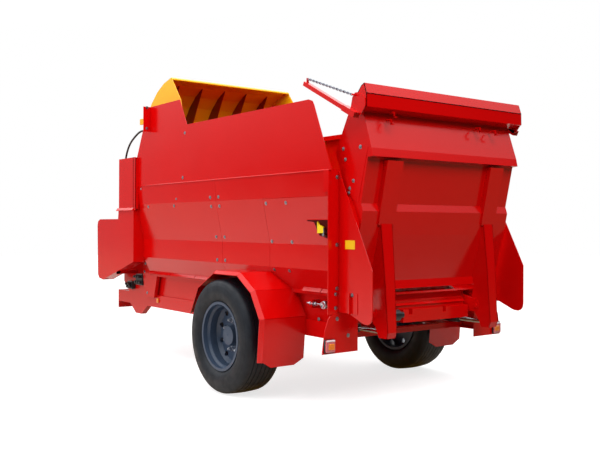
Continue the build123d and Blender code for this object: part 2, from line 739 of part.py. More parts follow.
def fenders():
    outline = [
        (520, 660), (372, 915), (96, 1062), (-299, 1062), (-517, 927), (-655, 707), (-640, 536), (-618, 348),
    ]
    sheet = prism_x(thick(outline, -FENDER_T), RAIL_X, FENDER_X)
    edge = prism_x(thick(outline, FENDER_RIM), FENDER_X - FENDER_T, FENDER_X)
    whole = sheet + edge
    whole -= body_inside(-1000, 1000, inset=0)
    whole -= block(0, BODY_X[0][1], -1000, 1000, FLOOR_Z, SEAM_Z)
    return both(whole)


# Tailgate


GATE_LINE = (
    # Y, Z of the outer face, from the top fold down
    (-1471.0, 2313.0), (-1564.0, 2040.0), (-1578.0, 1978.0), (-1523.0, 1972.0), (-1449.0, 1630.0),
    (-1468.0, 1573.0), (-1450.0, 1485.0), (-1430.0, 1390.0), (-1335.0, 1030.0), (-1350.0, 965.0),
)


def tailgate_panel():
    return prism_x(thick(GATE_LINE, SHEET), -GATE_X + SHEET, GATE_X - SHEET)


def tailgate_sides():
    rear = list(GATE_LINE[:8])
    outline = rear + [(-1428, 1500), (-1150, 2032), (-1320, 2354)]
    return both(prism_x(outline, GATE_X - SHEET, GATE_X))


def tailgate_cap():
    fold = [(-1573, 2338), (-1544, 2514), (-1512, 2498), (-1416, 2389), (-1471, 2313)]
    cap = prism_x(thick(fold, -SHEET), -CAP_X, CAP_X)
    for side in (-1, 1):
        cap += prism_x(fold, side * (CAP_X - SHEET), side * CAP_X)
    return cap


def tailgate_ribs():
    pieces = []
    for side in (-1, 1):
        outline = [(-1565, 1955), (-1520, 1958), (-1449, 1630), (-1468, 1573), (-1451, 1490), (-1461, 1468)]
        pieces.append(prism_x(outline, side * 506, side * 672) - tailgate_panel())
    return group(pieces)


def tailgate_arms():
    inner = ARM_X - 28
    outer = ARM_X + 28
    rear = [(-1449, 1480), (-1500, 1100), (-1530, 650), (-1515, 605)]
    front = [(-1430, 605), (-1395, 680), (-1345, 740), (-1325, 800), (-1346, 950), GATE_LINE[9], GATE_LINE[8],
             GATE_LINE[7]]
    web = rear + front
    arm = prism_x(web, inner, inner + SHEET) + prism_x(web, outer - SHEET, outer)
    arm += prism_x(thick(rear, SHEET), inner, outer)
    arm -= round_bar((inner - 1, GATE_Y, GATE_Z), (outer + 1, GATE_Y, GATE_Z), PIN_R + PIN_GAP)
    return both(arm - tailgate_panel())


def hinge_brackets():
    top = FLOOR_Z
    outline = [(-1100, top), (-1100, 760), (-1300, 730), (-1370, 735), (-1405, 760), (-1410, 800), (-1385, 835),
               (-1220, 870), (-1220, top)]
    pieces = []
    for side in (-1, 1):
        x0, x1 = ARM_X - 52, ARM_X + 52
        pair = prism_x(outline, x0, x0 + 12) + prism_x(outline, x1 - 12, x1)
        pair += round_bar((x0 - 8, GATE_Y, GATE_Z), (x1 + 8, GATE_Y, GATE_Z), PIN_R)
        pieces.append(pair if side > 0 else mirrored(pair))
    return group(pieces)


def rear_beam():
    inner = ARM_X - 52
    beam = block(-inner, inner, -1246, -1240, 690, FLOOR_Z)
    beam += block(-250, inner, -1300, -1246, 690, 798)
    return beam


def bed_motor():
    motor = round_bar((-450, -1291, 745), (-300, -1291, 745), 45)
    return motor + round_bar((-300, -1291, 745), (-250, -1291, 745), 25)


def ram_frame():
    rest = Vector(0, EYE_PIN_Y - RAM_BASE_Y, EYE_PIN_Z - RAM_BASE_Z)
    return rest, rest.normalized()


def ram_barrel(side):
    rest, way = ram_frame()
    x = side * ARM_X
    base = Vector(x, RAM_BASE_Y, RAM_BASE_Z)
    barrel = round_bar(tuple(base + way * 40), tuple(base + way * (40 + BARREL_L)), BARREL_R)
    barrel += round_bar((x - 24, RAM_BASE_Y, RAM_BASE_Z), (x + 24, RAM_BASE_Y, RAM_BASE_Z), 32)
    barrel += round_bar(tuple(base), tuple(base + way * 60), 22)
    barrel -= round_bar((x - 30, RAM_BASE_Y, RAM_BASE_Z), (x + 30, RAM_BASE_Y, RAM_BASE_Z), PIN_R - 4 + PIN_GAP)
    bore = ROD_R + PIN_GAP
    return barrel - round_bar(tuple(base + way * 60), tuple(base + way * (41 + BARREL_L)), bore)


def ram_rod(side):
    rest, way = ram_frame()
    x = side * ARM_X
    base = Vector(x, RAM_BASE_Y, RAM_BASE_Z)
    eye = base + rest
    rod = round_bar(tuple(base + way * (BARREL_L - 260)), tuple(eye - way * 10), ROD_R)
    rod += round_bar((x - 14, eye.Y, eye.Z), (x + 14, eye.Y, eye.Z), 32)
    return rod


CHAIN_START = (-881.0, 2628.0)
CHAIN_END = (-1433.0, 2437.0)


def bale_arms():
    outline = [(-823, 2593), (-823, 2624), (-1310, 2458), (-1530, 2345), (-1510, 2290), (-1310, 2395)]
    arm = prism_x(outline, CAP_X, CAP_X + BALE_ARM_T)
    x = CAP_X + BALE_ARM_T / 2
    for (y, z), ahead in ((CHAIN_START, 12), (CHAIN_END, -12)):
        arm += block(x - 8, x + 8, y, y + ahead, z - 50, z + 8)
    return both(arm)


def bale_chains():
    x = CAP_X + BALE_ARM_T / 2
    keep = block(0, 2000, CHAIN_END[0], CHAIN_START[0], 0, 4000)
    return both(round_bar((x, *CHAIN_START), (x, *CHAIN_END), 5) & keep)


HOSE_D = 21.0
HOSE_X = -900.0
HOSE_ROUTE = (
    # Y, Z of the hose at X = HOSE_X, from the front of the fan housing back to the upper side
    (2552.0, 2036.0), (2584.0, 2092.0), (2572.0, 2190.0), (2532.0, 2290.0), (2452.0, 2385.0), (2330.0, 2450.0),
    (2190.0, 2502.0), (2060.0, 2500.0), (1968.0, 2440.0),
)


def hose_path():
    points = [(HOSE_X, y, z) for y, z in HOSE_ROUTE]
    radii = []
    for a, b, c in zip(points, points[1:], points[2:]):
        before, after = Vector(*b) - Vector(*a), Vector(*c) - Vector(*b)
        turn = math.radians(before.get_angle(after))
        radii.append(0.45 * min(before.length, after.length) / math.tan(turn / 2))
    return FilletPolyline(*points, radius=radii), radii


def hydraulic_hose():
    path, radii = hose_path()
    print("hose length", round(path.length), "radii", [round(r) for r in radii])
    start = Plane(origin=path @ 0, z_dir=path % 0)
    return sweep(start * Circle(HOSE_D / 2), path=path)


def hose_fittings():
    path, radii = hose_path()
    start, way = path @ 0, path % 0
    low = round_bar(tuple(start - way * 24), tuple(start), 16)
    low += block(HOSE_X - 20, HOSE_X + 20, FAN_FRONT, start.Y - way.Y * 14, start.Z - 40, start.Z)
    end, way = path @ 1, path % 1
    high = round_bar(tuple(end), tuple(end + way * 24), 16)
    high += block(-UPPER_X + SHEET, HOSE_X, end.Y - 36, end.Y - 4, end.Z - 42, end.Z - 16)
    return group([low, high])


def build():
    parts = {
        "axle_beam": axle_beam(),
        "chassis_rails": chassis_rails(),
        "chassis_crossmembers": cross_members(),
        "drawbar": drawbar(),
        "jack_sleeve": jack_sleeve(),
        "jack_leg": jack_leg(),
        "skirts": skirts(),
        "floor_deck": floor_deck(),
        "floor_edges": floor_edges(),
        "bed_chain": bed_chain(),
        "chain_shafts": chain_shafts(),
        "side_panels": side_panels(),
        "side_posts": side_posts(),
        "upper_sides": upper_sides(),
        "rear_posts": rear_posts(),
        "wings": wings(),
        "lamp_brackets": lamp_brackets(),
        "lamps": lamps(),
        "fenders": fenders(),
        "front_bulkhead": bulkhead(),
        "rotor_concave": concave(),
        "rotor": rotor(),
        "rotor_bearings": rotor_bearings(),
        "fan_housing": fan_housing(),
        "fan_impeller": fan_impeller(),
        "drive_guards": drive_guards(),
        "guard_brackets": guard_brackets(),
        "hood_shell": hood_shell(),
        "hood_fins": hood_fins(),
        "hood_mounts": hood_mounts(),
        "hydraulic_hose": hydraulic_hose(),
        "hose_fittings": hose_fittings(),
        "chute": chute(),
        "chute_flap": chute_flap(),
        "belt_cover": belt_cover(),
        "gearbox": gearbox(),
        "pto_shaft": pto_shaft(),
        "hinge_brackets": hinge_brackets(),
        "rear_beam": rear_beam(),
        "bed_motor": bed_motor(),
        "tailgate_panel": tailgate_panel(),
        "tailgate_sides": tailgate_sides(),
        "tailgate_cap": tailgate_cap(),
        "tailgate_ribs": tailgate_ribs(),
        "tailgate_arms": tailgate_arms(),
        "bale_arms": bale_arms(),
        "bale_chains": bale_chains(),
    }
    for name, make in (("tyre", tyre), ("rim", rim), ("ram_barrel", ram_barrel), ("ram_rod", ram_rod)):
        parts[name + "_left"] = make(-1)
        parts[name + "_right"] = make(1)
    shift = Pos(0, SHIFT_Y, 0)
    return {name: group([shift * solid for solid in shape.solids()]) for name, shape in parts.items()}


os.makedirs("parts", exist_ok=True)
for node, shape in build().items():
    export_step(shape, f"parts/{node}.step")
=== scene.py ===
import json
import math
import bmesh
import bpy
from mathutils import Matrix, Vector


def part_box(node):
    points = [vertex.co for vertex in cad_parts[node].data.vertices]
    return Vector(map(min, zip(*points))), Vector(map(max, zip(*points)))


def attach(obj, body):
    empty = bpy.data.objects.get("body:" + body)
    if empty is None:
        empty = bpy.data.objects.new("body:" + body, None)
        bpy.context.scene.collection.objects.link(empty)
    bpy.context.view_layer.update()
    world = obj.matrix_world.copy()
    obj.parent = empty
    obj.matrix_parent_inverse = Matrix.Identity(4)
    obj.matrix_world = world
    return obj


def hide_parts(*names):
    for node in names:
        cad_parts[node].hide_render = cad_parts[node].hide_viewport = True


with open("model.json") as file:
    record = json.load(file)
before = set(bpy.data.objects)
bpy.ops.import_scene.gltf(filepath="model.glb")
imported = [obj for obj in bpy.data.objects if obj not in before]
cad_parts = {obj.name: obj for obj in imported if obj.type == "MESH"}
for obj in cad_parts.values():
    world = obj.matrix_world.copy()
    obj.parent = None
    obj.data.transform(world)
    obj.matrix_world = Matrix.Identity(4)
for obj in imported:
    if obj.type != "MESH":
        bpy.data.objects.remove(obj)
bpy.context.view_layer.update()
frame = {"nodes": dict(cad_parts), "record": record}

# Metres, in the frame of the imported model: +Z up, +Y towards the drawbar.
# Places are given from the axle, so along Y they are measured from AXLE_Y.
AXLE_LOW, AXLE_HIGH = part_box("axle_beam")
AXLE_Y = (AXLE_LOW[1] + AXLE_HIGH[1]) / 2
AXLE_Z = (AXLE_LOW[2] + AXLE_HIGH[2]) / 2

# Camera
CAMERA_AT = (-4.766, AXLE_Y - 5.923, 1.460)
CAMERA_YAW = math.radians(36.894)
CAMERA_PITCH = math.radians(0.064)
CAMERA_ROLL = math.radians(0.194)
LENS_MM = 47.63
SENSOR_MM = 36.0
CLIP_END = 200.0

# Light levels, where 1 is white
WHITE = 1.0
SKY_LEVEL = 0.56
HORIZON_LEVEL = 0.02
OPEN_LEVEL = 0.32
ZENITH_LEVEL = 1.9
OPEN_AHEAD = (0.76, 0.92)  # the direction's Y between which the horizon opens
SKY_RISE = (0.20, 0.62)  # the tilted direction's Z between which the sky grows bright
SKY_TILT = 0.2
FLOOR_SHADE = 0.5
# FLOOR_DARK is the floor's shade behind the machine for rays other than the camera's: painted shade in the
# gate's reflections.
FLOOR_DARK = 0.12
FLOOR_GLOW = 0.75
# The floor's warm glow as seen in gloss: a painted reflection of lit ground on the panels.
PAINTED_FLOOR_WARMTH = (0.24, 0.12, 0.0)
FLOOR_HALF = 30.0
FLOOR_CHANGE = (-4.6, -2.6)  # Y between which the floor goes from dark to pale

# Directions
ACROSS = (1.0, 0.0, 0.0)
LEFT = (-1.0, 0.0, 0.0)
BACK = (0.0, -1.0, 0.0)
AHEAD = (0.0, 1.0, 0.0)

# Wheels
TRACK = 1.030
TYRE_R = 0.500
TYRE_HALF = 0.193
BEAD_R = 0.286
TREAD_HALF = 0.124
CROWN_DROP = 0.006
SHOULDER_R = 0.054
GROOVES = (0.022, 0.066, 0.106)
GROOVE_HALF = 0.003
GROOVE_DEEP = 0.009
GROOVE_FOOT = 0.6  # part of the groove's width
TREAD_STEPS = 160
SHOULDER_STEPS = 8
SHOULDER_TURN = 75
WALL_STEPS = 18
SIDE_RIDGES = (2, 13, 15)
RIDGE_H = 0.0016
DISC_FACE = TRACK + 0.004
NUTS = 8
NUT_CIRCLE_R = 0.1375
NUT_R = 0.0165
NUT_H = 0.022
STUD_R = 0.0095
STUD_OUT = 0.016
STUD_EDGE = 0.002
STUD_STEPS = 12
NUT_WASHER = 1.35  # its radius as a part of the nut's

# Body side, outer face: height, half width
BODY_SIDE = ((0.935, 0.790), (1.110, 0.877), (1.310, 0.877), (1.690, 0.953), (1.888, 0.965), (2.720, 0.965))
UPPER_X = BODY_SIDE[-1][1]
SHEET = 0.006
BOLT_R = 0.0105
SMALL_BOLT_R = 0.008


# Meshes


def make(name, verts, faces, material, smooth=False):
    mesh = bpy.data.meshes.new(name)
    mesh.from_pydata([tuple(v) for v in verts], [], faces)
    mesh.validate()
    form = bmesh.new()
    form.from_mesh(mesh)
    bmesh.ops.recalc_face_normals(form, faces=form.faces)
    form.to_mesh(mesh)
    form.free()
    piece = bpy.data.objects.new(name, mesh)
    bpy.context.scene.collection.objects.link(piece)
    mesh.materials.append(material)
    if smooth:
        for face in mesh.polygons:
            face.use_smooth = True
    return piece


class Pile:
    """Verts and faces of many small forms, made into one piece."""

    def __init__(self):
        self.verts = []
        self.faces = []

    def add(self, verts, faces):
        base = len(self.verts)
        self.verts.extend(Vector(v) for v in verts)
        self.faces.extend([base + i for i in face] for face in faces)

    def add_mirrored(self, verts, faces):
        self.add(verts, faces)
        self.add([(-v[0], v[1], v[2]) for v in verts], [face[::-1] for face in faces])


def dressed(name, pile, material, body, slot, *nodes, smooth=False):
    """The pile as one piece on its body, instead of the frame's nodes where it names them."""
    piece = make(name, pile.verts, pile.faces, material, smooth)
    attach(piece, body)
    if nodes:
        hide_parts(*nodes)
    return piece


def prism(outline, low, high, along="X"):
    """A closed form from low to high along X or Y. The outline's rows are the other two coordinates."""
    verts = []
    for level in (low, high):
        for a, b in outline:
            verts.append((level, AXLE_Y + a, b) if along == "X" else (a, AXLE_Y + level, b))
    count = len(outline)
    faces = [list(range(count)), list(range(count, 2 * count))]
    for i in range(count):
        j = (i + 1) % count
        faces.append([i, j, count + j, count + i])
    return verts, faces


def box(x0, x1, y0, y1, z0, z1):
    """A block. Its row says X from, to, Y from, to, Z from, to, with Y from the axle."""
    return prism([(y0, z0), (y1, z0), (y1, z1), (y0, z1)], x0, x1)


def loft(sections):
    """A closed form through sections of as many points each."""
    count = len(sections[0])
    verts = [(x, AXLE_Y + y, z) for section in sections for x, y, z in section]
    last = (len(sections) - 1) * count
    faces = [list(range(count)), list(range(last, last + count))]
    for k in range(len(sections) - 1):
        for i in range(count):
            j = (i + 1) % count
            faces.append([k * count + i, k * count + j, (k + 1) * count + j, (k + 1) * count + i])
    return verts, faces


def sheet(line, wall):
    """The outline of a folded sheet: the line, and the same line set off by wall to its left."""
    moved = []
    for i, (a, b) in enumerate(line):
        turns = []
        for p, q in ((line[max(i - 1, 0)], (a, b)), ((a, b), line[min(i + 1, len(line) - 1)])):
            run = math.hypot(q[0] - p[0], q[1] - p[1])
            if run > 0:
                turns.append(((p[1] - q[1]) / run, (q[0] - p[0]) / run))
        na = sum(turn[0] for turn in turns) / len(turns)
        nb = sum(turn[1] for turn in turns) / len(turns)
        grow = wall / (na * na + nb * nb)
        moved.append((a + na * grow, b + nb * grow))
    return list(line) + moved[::-1]


def turned(profile, origin, axis, steps, phase=0.0, closed=False):
    """A form turned about an axis through origin. The profile's rows are (along the axis, radius)."""
    way = Vector(axis).normalized()
    spin = way.to_track_quat("Z", "Y").to_matrix()
    verts = []
    faces = []
    count = len(profile)
    for k in range(steps):
        turn = 2 * math.pi * k / steps + phase
        for along, radius in profile:
            local = Vector((radius * math.cos(turn), radius * math.sin(turn), along))
            verts.append(Vector(origin) + spin @ local)
    last = count if closed else count - 1
    for k in range(steps):
        here = k * count
        there = (k + 1) % steps * count
        for i in range(last):
            j = (i + 1) % count
            faces.append([here + i, there + i, there + j, here + j])
    return verts, faces


WASHER_T = 0.18  # part of the head's radius
WASHER_STEPS = 20
HEXAGON = 6


def bolt(origin, normal, radius, head=0.62, washer=1.55):
    """A hexagon head on its washer, seated at origin and standing out along normal."""
    pile = Pile()
    ring = radius * washer
    thin = radius * WASHER_T
    flat = [(0.0, 0.0), (0.0, ring), (thin * 0.8, ring), (thin, ring * 0.94), (thin, 0.0)]
    pile.add(*turned(flat, origin, normal, WASHER_STEPS))
    tall = thin + radius * head
    hexagon = [(thin, 0.0), (thin, radius), (tall * 0.86, radius), (tall, radius * 0.84), (tall, 0.0)]
    pile.add(*turned(hexagon, origin, normal, HEXAGON))
    return pile.verts, pile.faces


# Materials


def new_material(name):
    material = bpy.data.materials.new(name)
    material.use_nodes = True
    nodes = material.node_tree.nodes
    shader = nodes["Principled BSDF"]
    return material, nodes, material.node_tree.links, shader


def noise(nodes, links, scale, detail=3.0, rough=0.5, stretch=None):
    """Noise over the piece's own coordinates, in metres."""
    place = nodes.new("ShaderNodeTexCoord").outputs["Object"]
    if stretch:
        mapping = nodes.new("ShaderNodeMapping")
        mapping.inputs["Scale"].default_value = stretch
        links.new(place, mapping.inputs["Vector"])
        place = mapping.outputs["Vector"]
    texture = nodes.new("ShaderNodeTexNoise")
    texture.inputs["Scale"].default_value = scale
    texture.inputs["Detail"].default_value = detail
    texture.inputs["Roughness"].default_value = rough
    links.new(place, texture.inputs["Vector"])
    return texture.outputs["Fac"]


def between(nodes, links, factor, low, high, start=0.3, stop=0.7):
    """The factor, spread from low at start to high at stop."""
    spread = nodes.new("ShaderNodeMapRange")
    spread.inputs["From Min"].default_value = start
    spread.inputs["From Max"].default_value = stop
    spread.inputs["To Min"].default_value = low
    spread.inputs["To Max"].default_value = high
    links.new(factor, spread.inputs["Value"])
    return spread.outputs["Result"]


def blended(nodes, links, factor, first, second):
    mix = nodes.new("ShaderNodeMix")
    mix.data_type = "RGBA"
    mix.inputs["A"].default_value = (*first, 1.0)
    mix.inputs["B"].default_value = (*second, 1.0)
    links.new(factor, mix.inputs["Factor"])
    return mix.outputs["Result"]


def bump(nodes, links, height, distance, strength=1.0, under=None):
    node = nodes.new("ShaderNodeBump")
    node.inputs["Distance"].default_value = distance
    node.inputs["Strength"].default_value = strength
    links.new(height, node.inputs["Height"])
    if under:
        links.new(under, node.inputs["Normal"])
    return node.outputs["Normal"]


def enamel(name, colour, deep, gloss=0.17, wave=0.0012, level=0.42):
    """Sprayed enamel on sheet: slow waves in the sheet, fine peel in the paint, a little uneven colour."""
    material, nodes, links, shader = new_material(name)
    patch = between(nodes, links, noise(nodes, links, scale=1.3), 0.0, 1.0)
    links.new(blended(nodes, links, patch, colour, deep), shader.inputs["Base Color"])
    cloud = noise(nodes, links, scale=3.0, detail=5.0)
    links.new(between(nodes, links, cloud, gloss - 0.03, gloss + 0.05), shader.inputs["Roughness"])
    waves = bump(nodes, links, noise(nodes, links, scale=1.6, detail=1.0), distance=wave)
    fine = noise(nodes, links, scale=300.0, detail=2.0)
    peel = bump(nodes, links, fine, distance=0.0004, strength=0.06, under=waves)
    links.new(peel, shader.inputs["Normal"])
    shader.inputs["Specular IOR Level"].default_value = level
    return material


def bare_metal(name, colour, stain, rough):
    """Bare or plated metal: fine grain along X, cloudy stain, uneven gloss."""
    material, nodes, links, shader = new_material(name)
    cloud = noise(nodes, links, scale=22.0, detail=6.0, rough=0.6)
    stained = between(nodes, links, cloud, 0.0, 1.0, start=0.42, stop=0.72)
    links.new(blended(nodes, links, stained, colour, stain), shader.inputs["Base Color"])
    shader.inputs["Metallic"].default_value = 1.0
    wear = noise(nodes, links, scale=35.0, detail=4.0)
    links.new(between(nodes, links, wear, rough - 0.08, rough + 0.12), shader.inputs["Roughness"])
    grain = noise(nodes, links, scale=60.0, detail=3.0, rough=0.6, stretch=(0.15, 4.0, 4.0))
    links.new(bump(nodes, links, grain, distance=0.0005, strength=0.35), shader.inputs["Normal"])
    return material


def rubber(name, colour, dusty, rough=0.5):
    """Rubber with a film of dust and a fine grain."""
    material, nodes, links, shader = new_material(name)
    dust = noise(nodes, links, scale=9.0, detail=6.0, rough=0.6)
    film = between(nodes, links, dust, 0.0, 1.0, start=0.4, stop=0.75)
    links.new(blended(nodes, links, film, colour, dusty), shader.inputs["Base Color"])
    wear = noise(nodes, links, scale=14.0, detail=4.0)
    links.new(between(nodes, links, wear, rough - 0.1, rough + 0.12), shader.inputs["Roughness"])
    grain = noise(nodes, links, scale=420.0, detail=3.0)
    links.new(bump(nodes, links, grain, distance=0.0008, strength=0.4), shader.inputs["Normal"])
    shader.inputs["Specular IOR Level"].default_value = 0.35
    return material


def lens(name, colour, deep):
    """Lamp plastic with the small prisms moulded in its back."""
    material, nodes, links, shader = new_material(name)
    place = nodes.new("ShaderNodeTexCoord").outputs["Object"]
    cells = nodes.new("ShaderNodeTexVoronoi")
    cells.inputs["Scale"].default_value = 160.0
    cells.inputs["Randomness"].default_value = 0.0
    links.new(place, cells.inputs["Vector"])
    depth = cells.outputs["Distance"]
    links.new(blended(nodes, links, depth, colour, deep), shader.inputs["Base Color"])
    shader.inputs["Roughness"].default_value = 0.12
    shader.inputs["Coat Weight"].default_value = 0.6
    links.new(bump(nodes, links, depth, distance=0.0012, strength=0.6), shader.inputs["Normal"])
    return material


RED = enamel("red_enamel", (0.600, 0.0012, 0.0012), (0.570, 0.0010, 0.0010))
YELLOW = enamel("yellow_enamel", (0.94, 0.440, 0.004), (0.90, 0.410, 0.004))
FIN_RED = enamel("fin_enamel", (0.30, 0.008, 0.002), (0.17, 0.008, 0.002), gloss=0.4)
BLACK = enamel("black_enamel", (0.012, 0.012, 0.014), (0.018, 0.018, 0.020), gloss=0.3, wave=0.0006)
RIM = enamel("rim_enamel", (0.036, 0.055, 0.094), (0.044, 0.064, 0.104), gloss=0.3, wave=0.0006)
TYRE = rubber("tyre_rubber", (0.004, 0.006, 0.010), (0.009, 0.012, 0.018))
HOSE = rubber("hose_rubber", (0.012, 0.012, 0.013), (0.022, 0.022, 0.023))
STEEL = bare_metal("worn_steel", (0.34, 0.33, 0.32), (0.16, 0.10, 0.07), 0.42)
ZINC = bare_metal("zinc_plate", (0.62, 0.66, 0.74), (0.46, 0.49, 0.55), 0.30)
BOLT = bare_metal("bolt_zinc", (0.40, 0.44, 0.50), (0.24, 0.26, 0.30), 0.34)
CHAIN = bare_metal("chain_zinc", (0.30, 0.33, 0.40), (0.18, 0.20, 0.25), 0.38)
CHROME = bare_metal("hard_chrome", (0.52, 0.53, 0.55), (0.40, 0.40, 0.42), 0.16)
RED_LENS = lens("red_lens", (0.78, 0.22, 0.24), (0.50, 0.06, 0.07))
AMBER_LENS = lens("amber_lens", (0.95, 0.27, 0.020), (0.70, 0.14, 0.010))
# Near-white lens for the band along each lamp's top: a painted highlight that stands for a reflection.
PAINTED_HIGHLIGHT_LENS = lens("painted_highlight_lens", (0.86, 0.84, 0.86), (0.62, 0.58, 0.62))
LABEL = enamel("label_yellow", (0.86, 0.50, 0.006), (0.84, 0.48, 0.006), gloss=0.3, wave=0.0)
LEVER = enamel("lever_yellow", (0.90, 0.66, 0.010), (0.86, 0.62, 0.010), gloss=0.35, wave=0.0)
# Near-black red with little gloss: painted shade, for the lever's recess and the crease on the cap's back.
PAINTED_SHADE_RED = enamel("recess_shadow", (0.070, 0.0010, 0.0012), (0.050, 0.0008, 0.0010), gloss=0.6, wave=0.0,
                    level=0.1)

SLOT_MATERIALS = {
    "red_paint": RED, "yellow_paint": YELLOW, "fin_red": FIN_RED, "black_paint": BLACK, "tyre_rubber": TYRE,
    "rim_steel": RIM, "lamp_lens": RED_LENS, "bare_steel": STEEL, "chrome_rod": CHROME, "hose_rubber": HOSE,
    "zinc_steel": ZINC,
}


def dress_frame():
    """Every node of the frame takes the material of its slot."""
    for row in frame["record"]["subparts"]:
        node = frame["nodes"][row["node"]]
        node.data.materials.clear()
        node.data.materials.append(SLOT_MATERIALS[row["material_slot"]])


# Camera, floor and light


def add_camera():
    data = bpy.data.cameras.new("camera")
    data.lens = LENS_MM
    data.sensor_width = SENSOR_MM
    data.clip_end = CLIP_END
    camera = bpy.data.objects.new("camera", data)
    bpy.context.scene.collection.objects.link(camera)
    yaw, pitch, roll = CAMERA_YAW, CAMERA_PITCH, CAMERA_ROLL
    forward = Vector((math.sin(yaw) * math.cos(pitch), math.cos(yaw) * math.cos(pitch), math.sin(pitch)))
    right = Vector((math.cos(yaw), -math.sin(yaw), 0.0))
    up = right.cross(forward)
    side = right * math.cos(roll) + up * math.sin(roll)
    top = up * math.cos(roll) - right * math.sin(roll)
    turn = Matrix((side, top, -forward)).transposed().to_4x4()
    camera.matrix_world = Matrix.Translation(CAMERA_AT) @ turn
    bpy.context.scene.camera = camera


def at_least(nodes, links, first, second):
    more = nodes.new("ShaderNodeMath")
    more.operation = "MAXIMUM"
    links.new(first, more.inputs[0])
    links.new(second, more.inputs[1])
    return more.outputs["Value"]


def seen_directly(nodes, links):
    """1 for rays from the camera and for those seen in gloss or through glass."""
    path = nodes.new("ShaderNodeLightPath")
    total = path.outputs["Is Camera Ray"]
    for output in ("Is Glossy Ray", "Is Transmission Ray"):
        total = at_least(nodes, links, total, path.outputs[output])
    return total


def add_world():
    """White to the camera. In the gloss a bright sky over a dark horizon, which is lower ahead."""
    world = bpy.data.worlds.new("world")
    bpy.context.scene.world = world
    world.use_nodes = True
    nodes, links = world.node_tree.nodes, world.node_tree.links
    sky = nodes["Background"]
    way = nodes.new("ShaderNodeSeparateXYZ")
    links.new(nodes.new("ShaderNodeTexCoord").outputs["Generated"], way.inputs["Vector"])
    ahead = between(nodes, links, way.outputs["Y"], HORIZON_LEVEL, OPEN_LEVEL, *OPEN_AHEAD)
    height = nodes.new("ShaderNodeMath")
    height.operation = "MULTIPLY_ADD"
    links.new(way.outputs["Y"], height.inputs[0])
    height.inputs[1].default_value = SKY_TILT
    links.new(way.outputs["Z"], height.inputs[2])
    above = between(nodes, links, height.outputs["Value"], HORIZON_LEVEL, ZENITH_LEVEL, *SKY_RISE)
    camera_ray = nodes.new("ShaderNodeLightPath").outputs["Is Camera Ray"]
    shade = at_least(nodes, links, at_least(nodes, links, ahead, above), camera_ray)
    links.new(shade, sky.inputs["Color"])
    level = between(nodes, links, seen_directly(nodes, links), SKY_LEVEL, WHITE, 0.0, 1.0)
    links.new(level, sky.inputs["Strength"])


def add_floor():
    """White to the camera. In the gloss a warm glow, painted reflection of lit ground, and darker behind the
    machine, painted shade in the gate's reflections.
    """
    material, nodes, links, shader = new_material("floor_white")
    nodes.remove(shader)
    diffuse = nodes.new("ShaderNodeBsdfDiffuse")
    glow = nodes.new("ShaderNodeEmission")
    camera_ray = nodes.new("ShaderNodeLightPath").outputs["Is Camera Ray"]
    place = nodes.new("ShaderNodeSeparateXYZ")
    links.new(nodes.new("ShaderNodeTexCoord").outputs["Object"], place.inputs["Vector"])
    # For rays other than the camera's, the floor is darker behind the machine (painted shade for the gate's
    # reflections) and its glow is warm (painted reflection of lit ground).
    ahead = between(nodes, links, place.outputs["Y"], 0.0, 1.0, *FLOOR_CHANGE)
    pale = at_least(nodes, links, ahead, camera_ray)
    links.new(between(nodes, links, pale, FLOOR_DARK, FLOOR_SHADE, 0.0, 1.0), diffuse.inputs["Color"])
    links.new(blended(nodes, links, camera_ray, PAINTED_FLOOR_WARMTH, (WHITE, WHITE, WHITE)), glow.inputs["Color"])
    strength = between(nodes, links, seen_directly(nodes, links), 0.0, FLOOR_GLOW, 0.0, 1.0)
    links.new(strength, glow.inputs["Strength"])
    both = nodes.new("ShaderNodeAddShader")
    links.new(diffuse.outputs["BSDF"], both.inputs[0])
    links.new(glow.outputs["Emission"], both.inputs[1])
    links.new(both.outputs["Shader"], nodes["Material Output"].inputs["Surface"])
    half = FLOOR_HALF
    corners = [(-half, -half, 0), (half, -half, 0), (half, half, 0), (-half, half, 0)]
    make("floor", corners, [[0, 1, 2, 3]], material)


LAMPS = (
    # name, place, aimed at, width, height, watts
    ("overhead", (-1.0, 0.0, 7.5), (0.0, 0.0, 1.0), 7.0, 7.0, 440.0),
    ("left_key", (-8.0, 0.5, 3.4), (0.0, 0.0, 1.4), 5.0, 4.0, 250.0),
    ("rear_fill", (-2.0, -7.5, 6.5), (0.0, -1.0, 1.4), 4.0, 4.0, 420.0),
)


def add_lights():
    for name, place, aim, width, height, watts in LAMPS:
        data = bpy.data.lights.new(name, "AREA")
        data.shape = "RECTANGLE"
        data.size = width
        data.size_y = height
        data.energy = watts
        light = bpy.data.objects.new(name, data)
        bpy.context.scene.collection.objects.link(light)
        light.visible_glossy = False
        light.location = place
        light.rotation_mode = "QUATERNION"
        light.rotation_quaternion = (Vector(aim) - Vector(place)).to_track_quat("-Z", "Y")


# Hydraulic hose

HOSE_D = 0.021
HOSE_X = -0.900
HOSE_ROUTE = (
    # Y from the axle, Z
    (2.552, 2.036), (2.584, 2.092), (2.572, 2.190), (2.532, 2.290), (2.452, 2.385), (2.330, 2.450),
    (2.190, 2.502), (2.060, 2.500), (1.968, 2.440),
)


def add_hose():
    data = bpy.data.curves.new("hydraulic_hose_run", "CURVE")
    data.dimensions = "3D"
    data.bevel_depth = HOSE_D / 2
    data.bevel_resolution = 5
    data.resolution_u = 16
    data.use_fill_caps = True
    spline = data.splines.new("NURBS")
    spline.points.add(len(HOSE_ROUTE) - 1)
    for point, (y, z) in zip(spline.points, HOSE_ROUTE):
        point.co = (HOSE_X, AXLE_Y + y, z, 1.0)
    spline.order_u = 3
    spline.use_endpoint_u = True
    data.materials.append(HOSE)
    hose = bpy.data.objects.new("hydraulic_hose_run", data)
    bpy.context.scene.collection.objects.link(hose)
    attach(hose, "chassis")
    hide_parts("hydraulic_hose")


# Wheels


def crown_r(x):
    return TYRE_R - CROWN_DROP * (x / TREAD_HALF) ** 2


